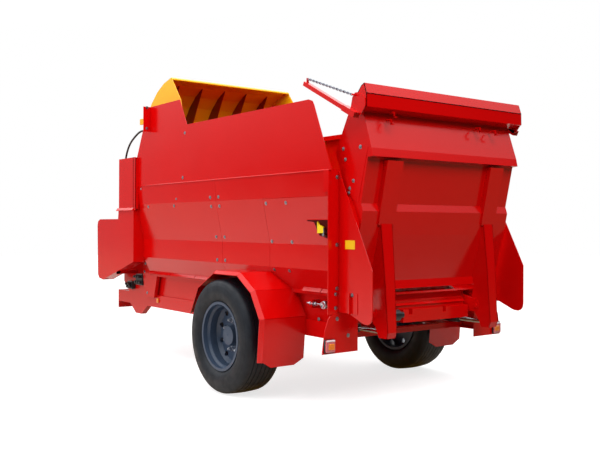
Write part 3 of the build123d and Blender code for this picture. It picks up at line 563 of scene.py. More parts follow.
def tyre_profile():
    """Half the tyre's section from its middle to the bead: distance from the middle, radius."""
    rows = [(0.0, TYRE_R)]
    for middle in GROOVES:
        for part, deep in ((-1.0, 0.0), (-GROOVE_FOOT, GROOVE_DEEP), (GROOVE_FOOT, GROOVE_DEEP), (1.0, 0.0)):
            x = middle + GROOVE_HALF * part
            rows.append((x, crown_r(x) - deep))
    for k in range(SHOULDER_STEPS + 1):
        turn = math.radians(90 - SHOULDER_TURN * k / SHOULDER_STEPS)
        rows.append((TREAD_HALF + SHOULDER_R * math.cos(turn),
                     TYRE_R - CROWN_DROP - SHOULDER_R + SHOULDER_R * math.sin(turn)))
    top_x, top_r = rows[-1]
    handles = ((top_x, top_r), (top_x + 0.013, top_r - 0.040), (TYRE_HALF + 0.012, 0.345),
               (TYRE_HALF - 0.044, BEAD_R + 0.016))
    for k in range(1, WALL_STEPS + 1):
        t = k / WALL_STEPS
        weights = ((1 - t) ** 3, 3 * t * (1 - t) ** 2, 3 * t * t * (1 - t), t ** 3)
        x = sum(weight * handle[0] for weight, handle in zip(weights, handles))
        r = sum(weight * handle[1] for weight, handle in zip(weights, handles))
        rows.append((x + (RIDGE_H if k in SIDE_RIDGES else 0.0), r))
    return rows + [(TYRE_HALF - 0.045, BEAD_R + 0.0005)]


def add_tyre(side, name):
    half = tyre_profile()
    rows = [(-x, r) for x, r in half[:0:-1]] + half
    centre = Vector((side * TRACK, AXLE_Y, AXLE_Z))
    pile = Pile()
    pile.add(*turned(rows, centre, ACROSS, TREAD_STEPS, closed=True))
    tyre = dressed(f"tyre_{name}_tread", pile, TYRE, f"wheel_{name}", "tyre_rubber", f"tyre_{name}",
                   smooth=True)
    tyre.data.set_sharp_from_angle(angle=math.radians(32))


def add_wheel_nuts(side, name):
    pile = Pile()
    out = (side, 0.0, 0.0)
    shank = NUT_H + STUD_OUT - STUD_EDGE
    end = NUT_H + STUD_OUT
    stud = [(NUT_H, STUD_R), (shank, STUD_R), (end, STUD_R * 0.8), (end, 0.0)]
    for k in range(NUTS):
        turn = 2 * math.pi * (k + 0.5) / NUTS
        at = Vector((side * DISC_FACE, AXLE_Y + NUT_CIRCLE_R * math.cos(turn),
                     AXLE_Z + NUT_CIRCLE_R * math.sin(turn)))
        pile.add(*bolt(at, out, NUT_R, head=NUT_H / NUT_R, washer=NUT_WASHER))
        pile.add(*turned(stud, at, out, STUD_STEPS))
    dressed(f"wheel_nuts_{name}", pile, ZINC, f"wheel_{name}", "zinc_steel")


# Bolts


def side_x(z):
    for (z0, x0), (z1, x1) in zip(BODY_SIDE, BODY_SIDE[1:]):
        if z0 <= z <= z1:
            return x0 + (x1 - x0) * (z - z0) / (z1 - z0)
    return UPPER_X


def side_normal(z):
    for (z0, x0), (z1, x1) in zip(BODY_SIDE, BODY_SIDE[1:]):
        if z0 <= z <= z1:
            return Vector((z1 - z0, 0.0, x0 - x1)).normalized()
    return Vector(ACROSS)


SIDE_BOLTS = (
    # Y from the axle, Z, radius of the head
    (1.042, 2.376, BOLT_R), (1.082, 1.936, BOLT_R), (2.030, 1.857, SMALL_BOLT_R), (1.881, 1.660, BOLT_R),
    (1.235, 1.728, SMALL_BOLT_R), (1.295, 1.660, BOLT_R), (0.563, 1.726, BOLT_R), (0.414, 1.726, BOLT_R),
    (0.563, 1.641, BOLT_R), (0.414, 1.641, BOLT_R), (0.563, 1.354, BOLT_R), (0.414, 1.354, BOLT_R),
    (0.560, 1.137, BOLT_R), (0.416, 1.137, BOLT_R), (-0.350, 1.650, BOLT_R), (-0.637, 1.650, BOLT_R),
    (-0.350, 1.326, BOLT_R), (-0.638, 1.326, BOLT_R), (-0.364, 1.085, BOLT_R), (-0.582, 1.085, BOLT_R),
    (-0.201, 1.038, BOLT_R),
)


def add_side_bolts():
    pile = Pile()
    for y, z, radius in SIDE_BOLTS:
        pile.add_mirrored(*bolt((side_x(z), AXLE_Y + y, z), side_normal(z), radius))
    dressed("side_bolts", pile, BOLT, "chassis", "zinc_steel")


REAR_FACE_Y = -1.228
BRACKET_FACE_Y = -1.234
POST_BOLTS = (
    # X, Z, Y of the face they sit on
    (0.886, 1.835, REAR_FACE_Y), (0.886, 1.316, REAR_FACE_Y), (0.886, 0.981, REAR_FACE_Y),
    (0.897, 0.938, REAR_FACE_Y), (0.897, 0.833, REAR_FACE_Y), (0.887, 0.750, BRACKET_FACE_Y),
    (0.777, 0.615, BRACKET_FACE_Y),
)


def add_post_bolts():
    pile = Pile()
    for x, z, face_y in POST_BOLTS:
        pile.add_mirrored(*bolt((x, AXLE_Y + face_y, z), BACK, BOLT_R))
    dressed("post_bolts", pile, BOLT, "chassis", "zinc_steel")


# Lamps

LAMP_X = 0.970
LAMP_Z = 0.549
LAMP_HALF = 0.050
LAMP_DEPTH = 0.034
LAMP_EDGE = 0.003
LAMP_BACK = 0.4  # where the lenses begin, as a part of the depth
LAMP_FIELDS = (
    # name, material, part of the width from, to, part of the height from, to, part of the depth
    ("red", RED_LENS, -1.0, 1.0, -1.0, 1.0, 0.82),
    # The clear field is a painted highlight: a near-white band along the lamp's top that stands for a
    # reflection.
    ("clear", PAINTED_HIGHLIGHT_LENS, -0.92, 0.92, 0.66, 0.96, 0.94),
    ("amber", AMBER_LENS, -0.80, 0.50, -0.66, 0.40, 1.0),
)
MARKER = (0.750, 0.766, 2.012, 2.048, 0.604, 0.656)  # X from, to, Y from, to, Z from, to


def slab(x0, x1, y0, y1, z0, z1, edge):
    """A block as box gives it, with its edges taken off by edge."""
    form = bmesh.new()
    for x, ix in ((x0, 1), (x1, -1)):
        for y, iy in ((AXLE_Y + y0, 1), (AXLE_Y + y1, -1)):
            for z, iz in ((z0, 1), (z1, -1)):
                form.verts.new((x + ix * edge, y + iy * edge, z))
                form.verts.new((x + ix * edge, y, z + iz * edge))
                form.verts.new((x, y + iy * edge, z + iz * edge))
    bmesh.ops.convex_hull(form, input=form.verts)
    form.verts.index_update()
    verts = [v.co.copy() for v in form.verts]
    faces = [[v.index for v in face.verts] for face in form.faces]
    form.free()
    return verts, faces


def add_lamps():
    back = BRACKET_FACE_Y
    half = LAMP_HALF
    housing = Pile()
    housing.add_mirrored(*slab(LAMP_X - half, LAMP_X + half, back - LAMP_DEPTH * 0.55, back,
                               LAMP_Z - half, LAMP_Z + half, LAMP_EDGE))
    dressed("lamp_bases", housing, BLACK, "chassis", "black_paint", "lamps")
    inner = half - LAMP_EDGE
    for name, material, x0, x1, z0, z1, deep in LAMP_FIELDS:
        pile = Pile()
        pile.add_mirrored(*slab(LAMP_X + x0 * inner, LAMP_X + x1 * inner,
                                back - LAMP_DEPTH * deep, back - LAMP_DEPTH * LAMP_BACK,
                                LAMP_Z + z0 * inner, LAMP_Z + z1 * inner, 2 * LAMP_EDGE))
        if name == "amber":
            pile.add_mirrored(*slab(*MARKER, 0.004))
        dressed(f"lamp_{name}", pile, material, "chassis", "lamp_lens")


# Label

WING_X = 0.873
LABEL_T = 0.0015
LABEL_EDGE = 0.0005
LABEL_BOX = (-WING_X - LABEL_T, -WING_X, -1.422, -1.311, 1.285, 1.352)  # X from, to, Y from, to, Z from, to


def add_label():
    """The blank plate on the left wing."""
    pile = Pile()
    pile.add(*slab(*LABEL_BOX, LABEL_EDGE))
    dressed("blank_label", pile, LABEL, "chassis", "yellow_paint")


# Bale chains

CHAIN_X = 0.923
CHAIN_START = (-0.905, 2.630)  # Y from the axle, Z
CHAIN_END = (-1.444, 2.436)
LINK_PITCH = 0.022
LINK_WIRE_R = 0.0032
LINK_HALF_WIDTH = 0.0068
LINK_STEPS = 20
WIRE_STEPS = 8


def link(origin, way, normal):
    """One stadium-shaped chain link, centred at origin, long along way, flat across normal."""
    side = way.cross(normal)
    verts = []
    faces = []
    straight = LINK_PITCH / 2 - LINK_HALF_WIDTH + LINK_WIRE_R
    for k in range(LINK_STEPS):
        turn = 2 * math.pi * k / LINK_STEPS
        out = way * math.cos(turn) + side * math.sin(turn)
        shift = straight if math.cos(turn) > 0 else -straight
        centre = origin + way * shift + out * LINK_HALF_WIDTH
        for j in range(WIRE_STEPS):
            roll = 2 * math.pi * j / WIRE_STEPS
            verts.append(centre + (out * math.cos(roll) + normal * math.sin(roll)) * LINK_WIRE_R)
    for k in range(LINK_STEPS):
        here, there = k * WIRE_STEPS, (k + 1) % LINK_STEPS * WIRE_STEPS
        for j in range(WIRE_STEPS):
            after = (j + 1) % WIRE_STEPS
            faces.append([here + j, there + j, there + after, here + after])
    return verts, faces


def add_bale_chains():
    pile = Pile()
    start = Vector((CHAIN_X, AXLE_Y + CHAIN_START[0], CHAIN_START[1]))
    end = Vector((CHAIN_X, AXLE_Y + CHAIN_END[0], CHAIN_END[1]))
    run = end - start
    way = run.normalized()
    across = Vector(ACROSS)
    upright = way.cross(across)
    count = round(run.length / LINK_PITCH)
    for k in range(count):
        at = start + run * ((k + 0.5) / count)
        pile.add_mirrored(*link(at, way, across if k % 2 else upright))
    dressed("bale_chain_links", pile, CHAIN, "tailgate", "zinc_steel", "bale_chains", smooth=True)


# Folded sheets that the frame's solids give more plainly

FLOOR_Z = 0.900
RAIL_X = 0.750
RAIL_TOP = 0.686
RIM_TOP = 2.482
RIM_RUN = (-0.966, 1.800)
RIM_TUBE = 0.050
LEFT_SIDE = (
    # Y from the axle, Z
    (2.130, 1.888), (2.130, 2.200), (1.863, 2.720), (1.155, 2.720), (1.005, 2.456), (-0.966, 2.456),
    (-1.012, 2.440), (-1.034, 2.405), (-1.255, 1.888),
)
RIGHT_SIDE = (
    (2.130, 1.888), (2.130, 2.200), (1.863, RIM_TOP), (-0.966, RIM_TOP), (-1.012, 2.466), (-1.034, 2.431),
    (-1.255, 1.888),
)
FRONT_TAB = (-1.047, -UPPER_X, 1.800, 1.806, 2.456, 2.720)
SEAM_LIP = ((UPPER_X, 1.893), (UPPER_X + 0.006, 1.888), (UPPER_X + 0.006, 1.885), (UPPER_X, 1.885))
SEAM_RUN = (-1.225, 2.128)


def add_upper_sides():
    """The left side, raised beside the hood, the plain right side with its rim, and a lip along each seam."""
    pile = Pile()
    inner = UPPER_X - SHEET
    pile.add(*prism(LEFT_SIDE, -UPPER_X, -inner))
    pile.add(*box(*FRONT_TAB))
    pile.add(*prism(RIGHT_SIDE, inner, UPPER_X))
    pile.add(*box(inner - RIM_TUBE, inner, *RIM_RUN, RIM_TOP - RIM_TUBE, RIM_TOP))
    pile.add_mirrored(*prism(SEAM_LIP, *SEAM_RUN, "Y"))
    dressed("upper_side_sheets", pile, RED, "chassis", "red_paint", "upper_sides")


FENDER_LINE = (
    # Y from the axle, Z
    (0.520, 0.660), (0.372, 0.915), (0.096, 1.062), (-0.299, 1.062), (-0.517, 0.927), (-0.655, 0.707),
    (-0.640, 0.536), (-0.618, 0.306),
)
FENDER_OUT = 1.200
FENDER_LIP = 0.034
LIP_FALL = 0.7
FENDER_T = 0.005
FLAP_CORNER = 0.78  # part of the flap's height where its chamfers begin
FLAP_OUTER_CHAMFER = 0.086
FLAP_INNER_CHAMFER = 0.096
FLAP_LIP = 0.80  # part of the flap's height that has a lip


def fender_root(z):
    return side_x(z) if z > BODY_SIDE[0][0] else RAIL_X


def fender_facet(start, end, corners):
    """A flat stretch of the fender between two folds: corners are its (x, part of the way down)."""
    (y0, z0), (y1, z1) = start, end
    run = math.hypot(y1 - y0, z1 - z0)
    off_y, off_z = (z1 - z0) / run, (y0 - y1) / run
    outer = [(x, y0 + (y1 - y0) * t, z0 + (z1 - z0) * t) for x, t in corners]
    inner = [(x, y + off_y * FENDER_T, z + off_z * FENDER_T) for x, y, z in outer]
    return loft([outer, inner])


def fender_lip(start, end):
    """The sloping lip along the outer edge of one stretch."""
    (y0, z0), (y1, z1) = start, end
    run = math.hypot(y1 - y0, z1 - z0)
    in_y, in_z = (z1 - z0) / run, (y0 - y1) / run
    folded = FENDER_OUT - FENDER_LIP
    fall = FENDER_LIP * LIP_FALL
    edge = [(folded, y0, z0), (folded, y1, z1), (FENDER_OUT, y1 - in_y * fall, z1 - in_z * fall),
            (FENDER_OUT, y0 - in_y * fall, z0 - in_z * fall)]
    under = [(x, y + in_y * FENDER_T, z + in_z * FENDER_T) for x, y, z in edge]
    return loft([edge, under])


def add_fenders():
    """Folded fenders. The last stretch of each is the flap, with chamfered corners."""
    pile = Pile()
    out = FENDER_OUT - FENDER_LIP
    flap = FENDER_LINE[-2]
    for start, end in zip(FENDER_LINE, FENDER_LINE[1:]):
        top, low = fender_root(start[1]), fender_root(end[1])
        if start == flap:
            corners = [(top, 0.0), (out, 0.0), (out, FLAP_CORNER), (out - FLAP_OUTER_CHAMFER, 1.0),
                       (low + FLAP_INNER_CHAMFER, 1.0), (low, FLAP_CORNER)]
            lip_end = tuple(a + (b - a) * FLAP_LIP for a, b in zip(start, end))
        else:
            corners = [(top, 0.0), (out, 0.0), (out, 1.0), (low, 1.0)]
            lip_end = end
        pile.add_mirrored(*fender_facet(start, end, corners))
        pile.add_mirrored(*fender_lip(start, lip_end))
    dressed("fender_sheets", pile, RED, "chassis", "red_paint", "fenders")


STRIP_RUNS = ((-1.150, -0.948), (-0.936, -0.700), (0.540, 1.099), (1.111, 1.625), (1.637, 2.130))
STRIP = ((0.789, 0.929), (0.824, 0.929), (0.8015, 0.957), (0.7905, 0.935))


def add_drip_strips():
    pile = Pile()
    for y0, y1 in STRIP_RUNS:
        pile.add_mirrored(*prism(STRIP, y0, y1, "Y"))
    dressed("drip_strips", pile, RED, "chassis", "red_paint")


LEG = ((1.988, 0.900), (2.328, 0.900), (2.293, 0.661), (2.059, 0.661))
SIDE_PLATE = ((2.150, 0.686), (2.780, 0.686), (2.830, 0.735), (2.920, 0.800), (2.920, 0.900), (2.411, 1.170),
              (2.150, 1.180))
LEG_OUT = 0.040
BOX_X = 1.000
BOX_LIP = ((BOX_X, 1.654), (BOX_X + 0.016, 1.628), (BOX_X + 0.016, 1.622), (BOX_X, 1.622))
BOX_LIP_RUN = (2.142, 2.562)
STAY_X = 0.994
STAY = 0.036
FRONT_BOXES = (
    # X from, to, Y from, to, Z from, to
    (0.724, 0.730, 1.850, 2.130, RAIL_TOP, FLOOR_Z),
    (RAIL_X + LEG_OUT - SHEET, RAIL_X + LEG_OUT, 2.138, 2.328, FLOOR_Z, 1.075),
    (RAIL_X, STAY_X, 2.560, 2.560 + STAY, 0.905, 0.905 + STAY),
    (STAY_X - STAY, STAY_X, 2.560, 2.560 + STAY, 0.905, 1.400),
    (UPPER_X - 0.005, BOX_X, 2.092, 2.098, 1.640, 2.190),
    (BOX_X - 0.004, BOX_X, 2.092, 2.150, 1.628, 2.207),
)


def add_front_frame():
    """Legs between the rails and the body, the skirts' fronts, the guards' plates and stays."""
    pile = Pile()
    pile.add_mirrored(*prism(LEG, RAIL_X, RAIL_X + LEG_OUT))
    pile.add_mirrored(*prism(SIDE_PLATE, RAIL_X - SHEET, RAIL_X))
    pile.add_mirrored(*prism(BOX_LIP, *BOX_LIP_RUN, "Y"))
    for row in FRONT_BOXES:
        pile.add_mirrored(*box(*row))
    dressed("front_frame", pile, RED, "chassis", "red_paint", "guard_brackets")


VALVE_OUT = 0.046
VALVES = (
    # Y from, to, Z from, to, couplings in a row
    (2.345, 2.515, 0.780, 0.905, 3), (2.606, 2.740, 0.722, 0.812, 2),
)
COUPLING_IN = 0.030
COUPLING_EDGE = 0.003
LOWER_COUPLING = (0.026, 0.019)  # out, radius
UPPER_COUPLING = (0.040, 0.015)


def add_valves():
    """The left side's hydraulic couplings, under the guard."""
    pile = Pile()
    face = -RAIL_X - VALVE_OUT
    for y0, y1, z0, z1, couplings in VALVES:
        pile.add(*slab(face, -RAIL_X, y0, y1, z0, z1, 0.004))
        for i in range(couplings):
            y = AXLE_Y + y0 + (y1 - y0) * (i + 0.5) / couplings
            for z, (out, radius) in ((z0 + COUPLING_IN, LOWER_COUPLING), (z1 - COUPLING_IN, UPPER_COUPLING)):
                rim = radius - COUPLING_EDGE
                plug = [(0.0, radius), (out - COUPLING_EDGE, radius), (out, rim), (out, 0.0)]
                pile.add(*turned(plug, (face, y, z), LEFT, 16))
    dressed("valve_couplings", pile, BLACK, "chassis", "black_paint")


WING_LINE = (
    # Y from the axle, Z
    (-1.228, 1.888), (-1.617, 1.127), (-1.617, 0.798), (-1.611, 0.768), (-1.594, 0.745), (-1.566, 0.733),
    (-1.530, 0.734), (-1.500, 0.742), (-1.312, 0.820), (-1.312, 0.898), (-1.228, 0.898),
)
WING_PLATE_T = 0.005
WING_BRACKET = (
    # X from, to, Y from, to, Z from, to
    (WING_X, WING_X + WING_PLATE_T, -1.457, -1.232, 0.800, 0.954),
    (WING_X, WING_X + 0.026, -1.385, -1.380, 0.800, 0.954),
)


def add_wings():
    """The rear wings, each with a small angle bracket on its outside."""
    pile = Pile()
    pile.add_mirrored(*prism(WING_LINE, WING_X - SHEET, WING_X))
    for row in WING_BRACKET:
        pile.add_mirrored(*box(*row))
    dressed("wing_sheets", pile, RED, "chassis", "red_paint", "wings")


BEAM_HALF = 0.524
APRON = ((-1.220, 0.900), (-1.226, 0.856), (-1.262, 0.816))
BACK_PLATE = (-BEAM_HALF, BEAM_HALF, -1.246, -1.240, 0.680, 0.850)
CLOSING_PLATE = (0.680, 0.785, -1.152, -1.148, 0.674, 0.905)
BEAM_RUN = (-1.300, -1.246)
BEAM_LOW, NOTCH_Z, BEAM_TOP = 0.680, 0.742, 0.785
BEAM = (
    # X, Z: the beam's back, with two notches
    (-0.250, BEAM_LOW), (BEAM_HALF, BEAM_LOW), (BEAM_HALF, BEAM_TOP), (0.250, BEAM_TOP), (0.250, NOTCH_Z),
    (0.210, NOTCH_Z), (0.210, BEAM_TOP), (-0.147, BEAM_TOP), (-0.147, NOTCH_Z), (-0.187, NOTCH_Z),
    (-0.187, BEAM_TOP), (-0.250, BEAM_TOP),
)


def add_rear_beam():
    """The back plate and beam under the floor's rear edge, with the sloping lip above them."""
    pile = Pile()
    pile.add(*box(*BACK_PLATE))
    pile.add_mirrored(*box(*CLOSING_PLATE))
    pile.add(*prism(BEAM, *BEAM_RUN, "Y"))
    pile.add(*prism(sheet(APRON, SHEET), -BEAM_HALF, BEAM_HALF))
    dressed("rear_beam_sheets", pile, RED, "chassis", "red_paint", "rear_beam")


ARM_X = 0.590
ARM_TOP = (1.480, 0.060)  # Z, half width
ARM_END = (0.605, 0.046)
ARM_REAR = ((-1.463, 1.480), (-1.500, 1.100), (-1.530, 0.650), (-1.515, 0.605))
ARM_FRONT = (
    # Y from the axle, Z
    (-1.430, 0.605), (-1.395, 0.680), (-1.345, 0.740), (-1.325, 0.800), (-1.346, 0.950), (-1.350, 0.965),
    (-1.335, 1.030), (-1.430, 1.390), (-1.449, 1.480),
)


def arm_half(z):
    """Half the arm's width at a height."""
    (low, narrow), (high, wide) = ARM_END, ARM_TOP
    return narrow + (wide - narrow) * (z - low) / (high - low)


def add_tailgate_arms():
    """Tapered channels, open towards the machine."""
    pile = Pile()
    for sign in (-1, 1):
        web = [[(ARM_X + sign * (arm_half(z) - inset), y, z) for y, z in ARM_REAR + ARM_FRONT]
               for inset in (0.0, SHEET)]
        pile.add_mirrored(*loft(web))
    back = []
    for y, z in ARM_REAR:
        half = arm_half(z)
        back.append([(ARM_X - half, y, z), (ARM_X + half, y, z), (ARM_X + half, y + SHEET, z),
                     (ARM_X - half, y + SHEET, z)])
    pile.add_mirrored(*loft(back))
    dressed("tailgate_arm_channels", pile, RED, "tailgate", "red_paint", "tailgate_arms")


CAP_X = 0.895
CAP_LINE = (
    # Y from the axle, Z
    (-1.471, 2.313), (-1.573, 2.338), (-1.571, 2.436), (-1.544, 2.514), (-1.512, 2.498), (-1.416, 2.389),
)
# A thin strip along the cap's back crease, painted dark as shade.
CREASE_SHADE_STRIP = (0.002 - CAP_X, CAP_X - 0.002, -1.573, -1.569, 2.433, 2.439)


def add_cap():
    """The folded cap of the tailgate with its ends, and a strip of painted shade along the crease on its
    back.
    """
    pile = Pile()
    pile.add(*prism(sheet(CAP_LINE, -SHEET), -CAP_X, CAP_X))
    pile.add_mirrored(*prism(CAP_LINE, CAP_X - SHEET, CAP_X))
    dressed("cap_sheets", pile, RED, "tailgate", "red_paint", "tailgate_cap")
    # The crease on the cap's back gets a strip of painted shade.
    seam = Pile()
    seam.add(*box(*CREASE_SHADE_STRIP))
    dressed("cap_crease_shade", seam, PAINTED_SHADE_RED, "tailgate", "fin_red")


BALE_BAR = ((-0.880, 2.612), (-1.500, 2.293))
BAR_H = 0.034
BAR_WALL = 0.005
BAR_W = 0.056
BAR_MOUNT = (
    # Y from the axle, Z
    (-1.398, 2.340), (-1.418, 2.420), (-1.446, 2.452), (-1.490, 2.452), (-1.560, 2.400), (-1.560, 2.340),
    (-1.515, 2.285), (-1.480, 2.275),
)
SLEEVE_FROM = 0.78  # part of the bar's run
POST_HALF = 0.008
POST_T = 0.012
POST_RUN = (-0.060, 0.008)  # Z from the chain's end
PIN_R = 0.007
PIN_LENGTH = BAR_W - 0.020


def bar_length(first, last, grown):
    """A length of the bale arm between two parts of its run, grown all round."""
    (ya, za), (yb, zb) = BALE_BAR
    run = math.hypot(yb - ya, zb - za)
    up_y, up_z = (zb - za) / run, -(yb - ya) / run
    ends = [(ya + (yb - ya) * t, za + (zb - za) * t) for t in (first, last)]
    under = BAR_H + grown
    upper = [(y + up_y * grown, z + up_z * grown) for y, z in ends]
    lower = [(y - up_y * under, z - up_z * under) for y, z in ends[::-1]]
    return upper + lower


def add_bale_arms():
    """Bars with a sleeve at their foot, the plates that carry them, and the chains' post and pin."""
    pile = Pile()
    x0, x1 = CAP_X, CAP_X + BAR_W
    pile.add_mirrored(*prism(bar_length(0.0, 1.0, 0.0), x0 + BAR_WALL, x1 - BAR_WALL))
    pile.add_mirrored(*prism(bar_length(SLEEVE_FROM, 1.0, BAR_WALL), x0, x1))
    pile.add_mirrored(*prism(BAR_MOUNT, x0, x0 + SHEET))
    middle = (x0 + x1) / 2
    y, z = CHAIN_START
    low, high = POST_RUN
    pile.add_mirrored(*box(middle - POST_HALF, middle + POST_HALF, y, y + POST_T, z + low, z + high))
    y, z = CHAIN_END
    pin = [(0.0, PIN_R), (PIN_LENGTH, PIN_R), (PIN_LENGTH, 0.0)]
    pile.add_mirrored(*turned(pin, (x0, AXLE_Y + y - PIN_R, z), ACROSS, 14))
    dressed("bale_arm_bars", pile, RED, "tailgate", "red_paint", "bale_arms")


HOOD_X = 0.773
HOOD_CENTRE = (1.600, 2.250)
HOOD_R = 0.800
MOUTH_TURN = math.radians(82.7)
HOOD_LIP = 0.026
LIP_BACK = 0.8  # parts of the lip's width
LIP_SLOPE = 0.6
HOOD_LUG = (-0.797, -HOOD_X, 2.300, 2.412, 2.604, 2.668)


def add_hood_lip():
    """The folded lip along the hood's mouth, and the lug on its left."""
    pile = Pile()
    y = HOOD_CENTRE[0] + HOOD_R * math.cos(MOUTH_TURN)
    z = HOOD_CENTRE[1] + HOOD_R * math.sin(MOUTH_TURN)
    back = y - LIP_BACK * HOOD_LIP
    lip = ((y, z + 0.001), (back, z - LIP_SLOPE * HOOD_LIP), (back, z - HOOD_LIP), (y + SHEET, z - HOOD_LIP))
    pile.add(*prism(lip, -HOOD_X - 0.001, HOOD_X + 0.001))
    pile.add(*box(*HOOD_LUG))
    dressed("hood_lip", pile, YELLOW, "chassis", "yellow_paint")


RECESS_X = 0.897
RECESS = (
    # Y from the axle, Z
    (-0.890, 1.507), (-1.170, 1.507), (-1.170, 1.350), (-1.020, 1.385), (-0.975, 1.492), (-0.890, 1.498),
)
SLOT_HOOD = (-RECESS_X - 0.022, -RECESS_X, -1.170, -0.890, 1.507, 1.512)
LEVER_LINE = (
    # Y from the axle, Z
    (-1.030, 1.494), (-1.046, 1.470), (-1.100, 1.452), (-1.108, 1.418), (-1.100, 1.404), (-1.030, 1.404),
)
LEVER_OUT = 0.028
LEVER_IN = 0.002
KNOB_AT = (-RECESS_X - 0.004, AXLE_Y - 1.098, 1.390)
KNOB = ((0.0, 0.012), (0.020, 0.012), (0.024, 0.008), (0.024, 0.0))
KNOB_STEM = (-RECESS_X - 0.029, -RECESS_X, -1.116, -1.107, 1.402, 1.446)


def add_lever():
    """The left panel's lever on a thin sheet of painted shade that stands for its slot, with a lip over it.
    """
    # The slot is a thin near-black sheet on the side: painted shade instead of a hollow.
    slot = Pile()
    slot.add(*loft([[(off - side_x(z), y, z) for y, z in RECESS] for off in (-0.0015, 0.002)]))
    dressed("lever_slot_painted_shade", slot, PAINTED_SHADE_RED, "chassis", "red_paint")
    lip = Pile()
    lip.add(*box(*SLOT_HOOD))
    dressed("lever_hood", lip, RED, "chassis", "red_paint")
    lever = Pile()
    lever.add(*prism(LEVER_LINE, -RECESS_X - LEVER_OUT, -RECESS_X + LEVER_IN))
    dressed("lever_block", lever, LEVER, "chassis", "yellow_paint")
    knob = Pile()
    knob.add(*turned(KNOB, KNOB_AT, LEFT, 16))
    knob.add(*box(*KNOB_STEM))
    dressed("lever_knob", knob, BOLT, "chassis", "zinc_steel")


ROD_X = 0.790
ROD_Z = 0.826
ROD_FRONT = -0.735
ROD_R = 0.009
ROD_LENGTH = 0.190
ROD_NUTS = (
    # distance along the rod, radius, width
    (0.030, 0.016, 0.014), (0.066, 0.020, 0.020), (0.090, 0.024, 0.006), (0.106, 0.018, 0.016),
)
ROD_CAP_AT = 0.215
ROD_CAP = ((-0.026, 0.0), (-0.026, 0.033), (0.010, 0.033), (0.014, 0.029), (0.010, 0.010), (0.006, 0.0))
ROD_LUGS = (
    # X to, distance along the rod from, to, half height
    (ROD_X + 0.024, 0.080, 0.086, 0.034), (ROD_X - 0.020, 0.195, 0.235, 0.026),
)
LUG_ROOT = 0.729


def rod_ring(start, end, radius):
    """A plain length along the rod."""
    return [(start, 0.0), (start, radius), (end, radius), (end, 0.0)]


def add_tensioners():
    """A threaded rod with its nuts and cap beside each skirt, held by lugs."""
    rod = Pile()
    start = (ROD_X, AXLE_Y + ROD_FRONT, ROD_Z)
    rod.add_mirrored(*turned(rod_ring(0.0, ROD_LENGTH, ROD_R), start, BACK, 14))
    for at, radius, wide in ROD_NUTS:
        rod.add_mirrored(*turned(rod_ring(at, at + wide, radius), start, BACK, HEXAGON))
    rod.add_mirrored(*turned(ROD_CAP, (ROD_X, start[1] - ROD_CAP_AT, ROD_Z), ACROSS, 28))
    dressed("tensioner_rods", rod, ZINC, "chassis", "zinc_steel")
    lugs = Pile()
    for x, near, far, half in ROD_LUGS:
        lugs.add_mirrored(*box(LUG_ROOT, x, ROD_FRONT - far, ROD_FRONT - near, ROD_Z - half, ROD_Z + half))
    dressed("tensioner_lugs", lugs, RED, "chassis", "red_paint")


GATE_SIDE_X = 0.838
GATE_PLATE_X = GATE_SIDE_X + 0.003
GATE_BACK = -1.575
GATE_BOLTS = (
    # Y from the axle, Z
    (-1.245, 2.052), (-1.444, 2.053), (-1.270, 1.969), (-1.365, 1.802), (-1.320, 1.745), (-1.312, 1.711),
)
GATE_PLATE = (
    # Y from the axle, Z
    (-1.250, 2.128), (-1.528, 2.050), (-1.512, 1.990), (-1.420, 1.640), (-1.290, 1.690), (-1.160, 2.010),
)
HOOKS = ((-0.622, 2.294), (-0.652, 2.238), (0.354, 2.253), (0.544, 2.242))  # X, Z
HOOK_HALF = 0.006
HOOK_R = 0.007
HOOK_LENGTH = 0.050
HOOK_UP = 0.020
HOOK_T = 0.010
HOOK_BOXES = (
    # X from, to, Z from, to, from the hook's place
    (-HOOK_HALF, HOOK_HALF, -0.012, 0.024), (-HOOK_HALF, 0.028, -0.018, -0.008),
)
WING_BOLTS = ((-1.397, 0.941),)
RAIL_BOLTS = ((-0.832, 0.699), (-0.555, 0.538))
LEG_BOLTS = ((2.269, 1.031), (2.290, 0.940), (2.219, 0.706))
TAB_BOLTS = ((-1.006, 2.710), (-1.006, 2.490))  # X, Z


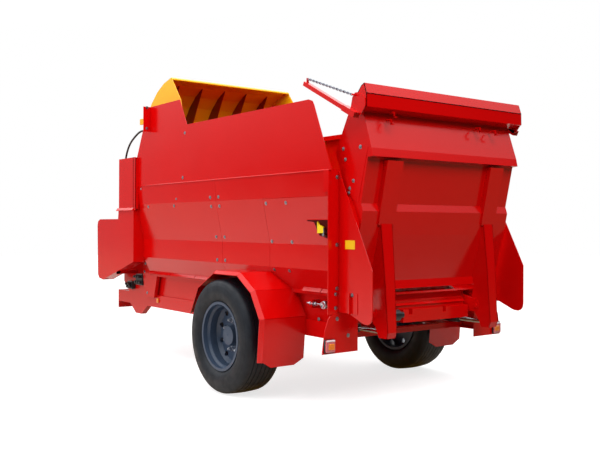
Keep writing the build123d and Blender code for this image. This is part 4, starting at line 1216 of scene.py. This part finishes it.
def add_gate_fittings():
    """Overlay plates and their bolts on the gate's sides, and the hooks under its cap."""
    plates = Pile()
    plates.add_mirrored(*prism(GATE_PLATE, GATE_SIDE_X, GATE_PLATE_X))
    y0, y1 = GATE_BACK - HOOK_T / 2, GATE_BACK + HOOK_T / 2
    stem = [(0.0, 0.0), (0.0, HOOK_R), (HOOK_LENGTH, HOOK_R), (HOOK_LENGTH, 0.0)]
    for x, z in HOOKS:
        plates.add(*turned(stem, (x, AXLE_Y + GATE_BACK, z + HOOK_UP), AHEAD, 10))
        for x0, x1, z0, z1 in HOOK_BOXES:
            plates.add(*box(x + x0, x + x1, y0, y1, z + z0, z + z1))
    dressed("gate_plates", plates, RED, "tailgate", "red_paint")
    bolts = Pile()
    for y, z in GATE_BOLTS:
        bolts.add_mirrored(*bolt((GATE_PLATE_X, AXLE_Y + y, z), ACROSS, BOLT_R))
    dressed("gate_bolts", bolts, BOLT, "tailgate", "zinc_steel")


def add_frame_bolts():
    """The bolts of the wings, rails, legs and the left side's tab."""
    bolts = Pile()
    rows = ((WING_X + WING_PLATE_T, WING_BOLTS), (RAIL_X, RAIL_BOLTS), (RAIL_X + LEG_OUT, LEG_BOLTS))
    for face_x, places in rows:
        for y, z in places:
            bolts.add_mirrored(*bolt((face_x, AXLE_Y + y, z), ACROSS, BOLT_R))
    for x, z in TAB_BOLTS:
        bolts.add(*bolt((x, AXLE_Y + FRONT_TAB[2], z), BACK, BOLT_R))
    dressed("frame_bolts", bolts, BOLT, "chassis", "zinc_steel")


bpy.context.scene.view_settings.view_transform = "Standard"
add_camera()
add_hose()
add_world()
add_floor()
add_lights()
dress_frame()
for wheel_side, wheel_name in ((-1, "left"), (1, "right")):
    add_tyre(wheel_side, wheel_name)
    add_wheel_nuts(wheel_side, wheel_name)
add_side_bolts()
add_post_bolts()
add_lamps()
add_label()
add_upper_sides()
add_fenders()
add_drip_strips()
add_front_frame()
add_valves()
add_wings()
add_rear_beam()
add_tailgate_arms()
add_cap()
add_bale_arms()
add_hood_lip()
add_lever()
add_tensioners()
add_gate_fittings()
add_frame_bolts()
add_bale_chains()
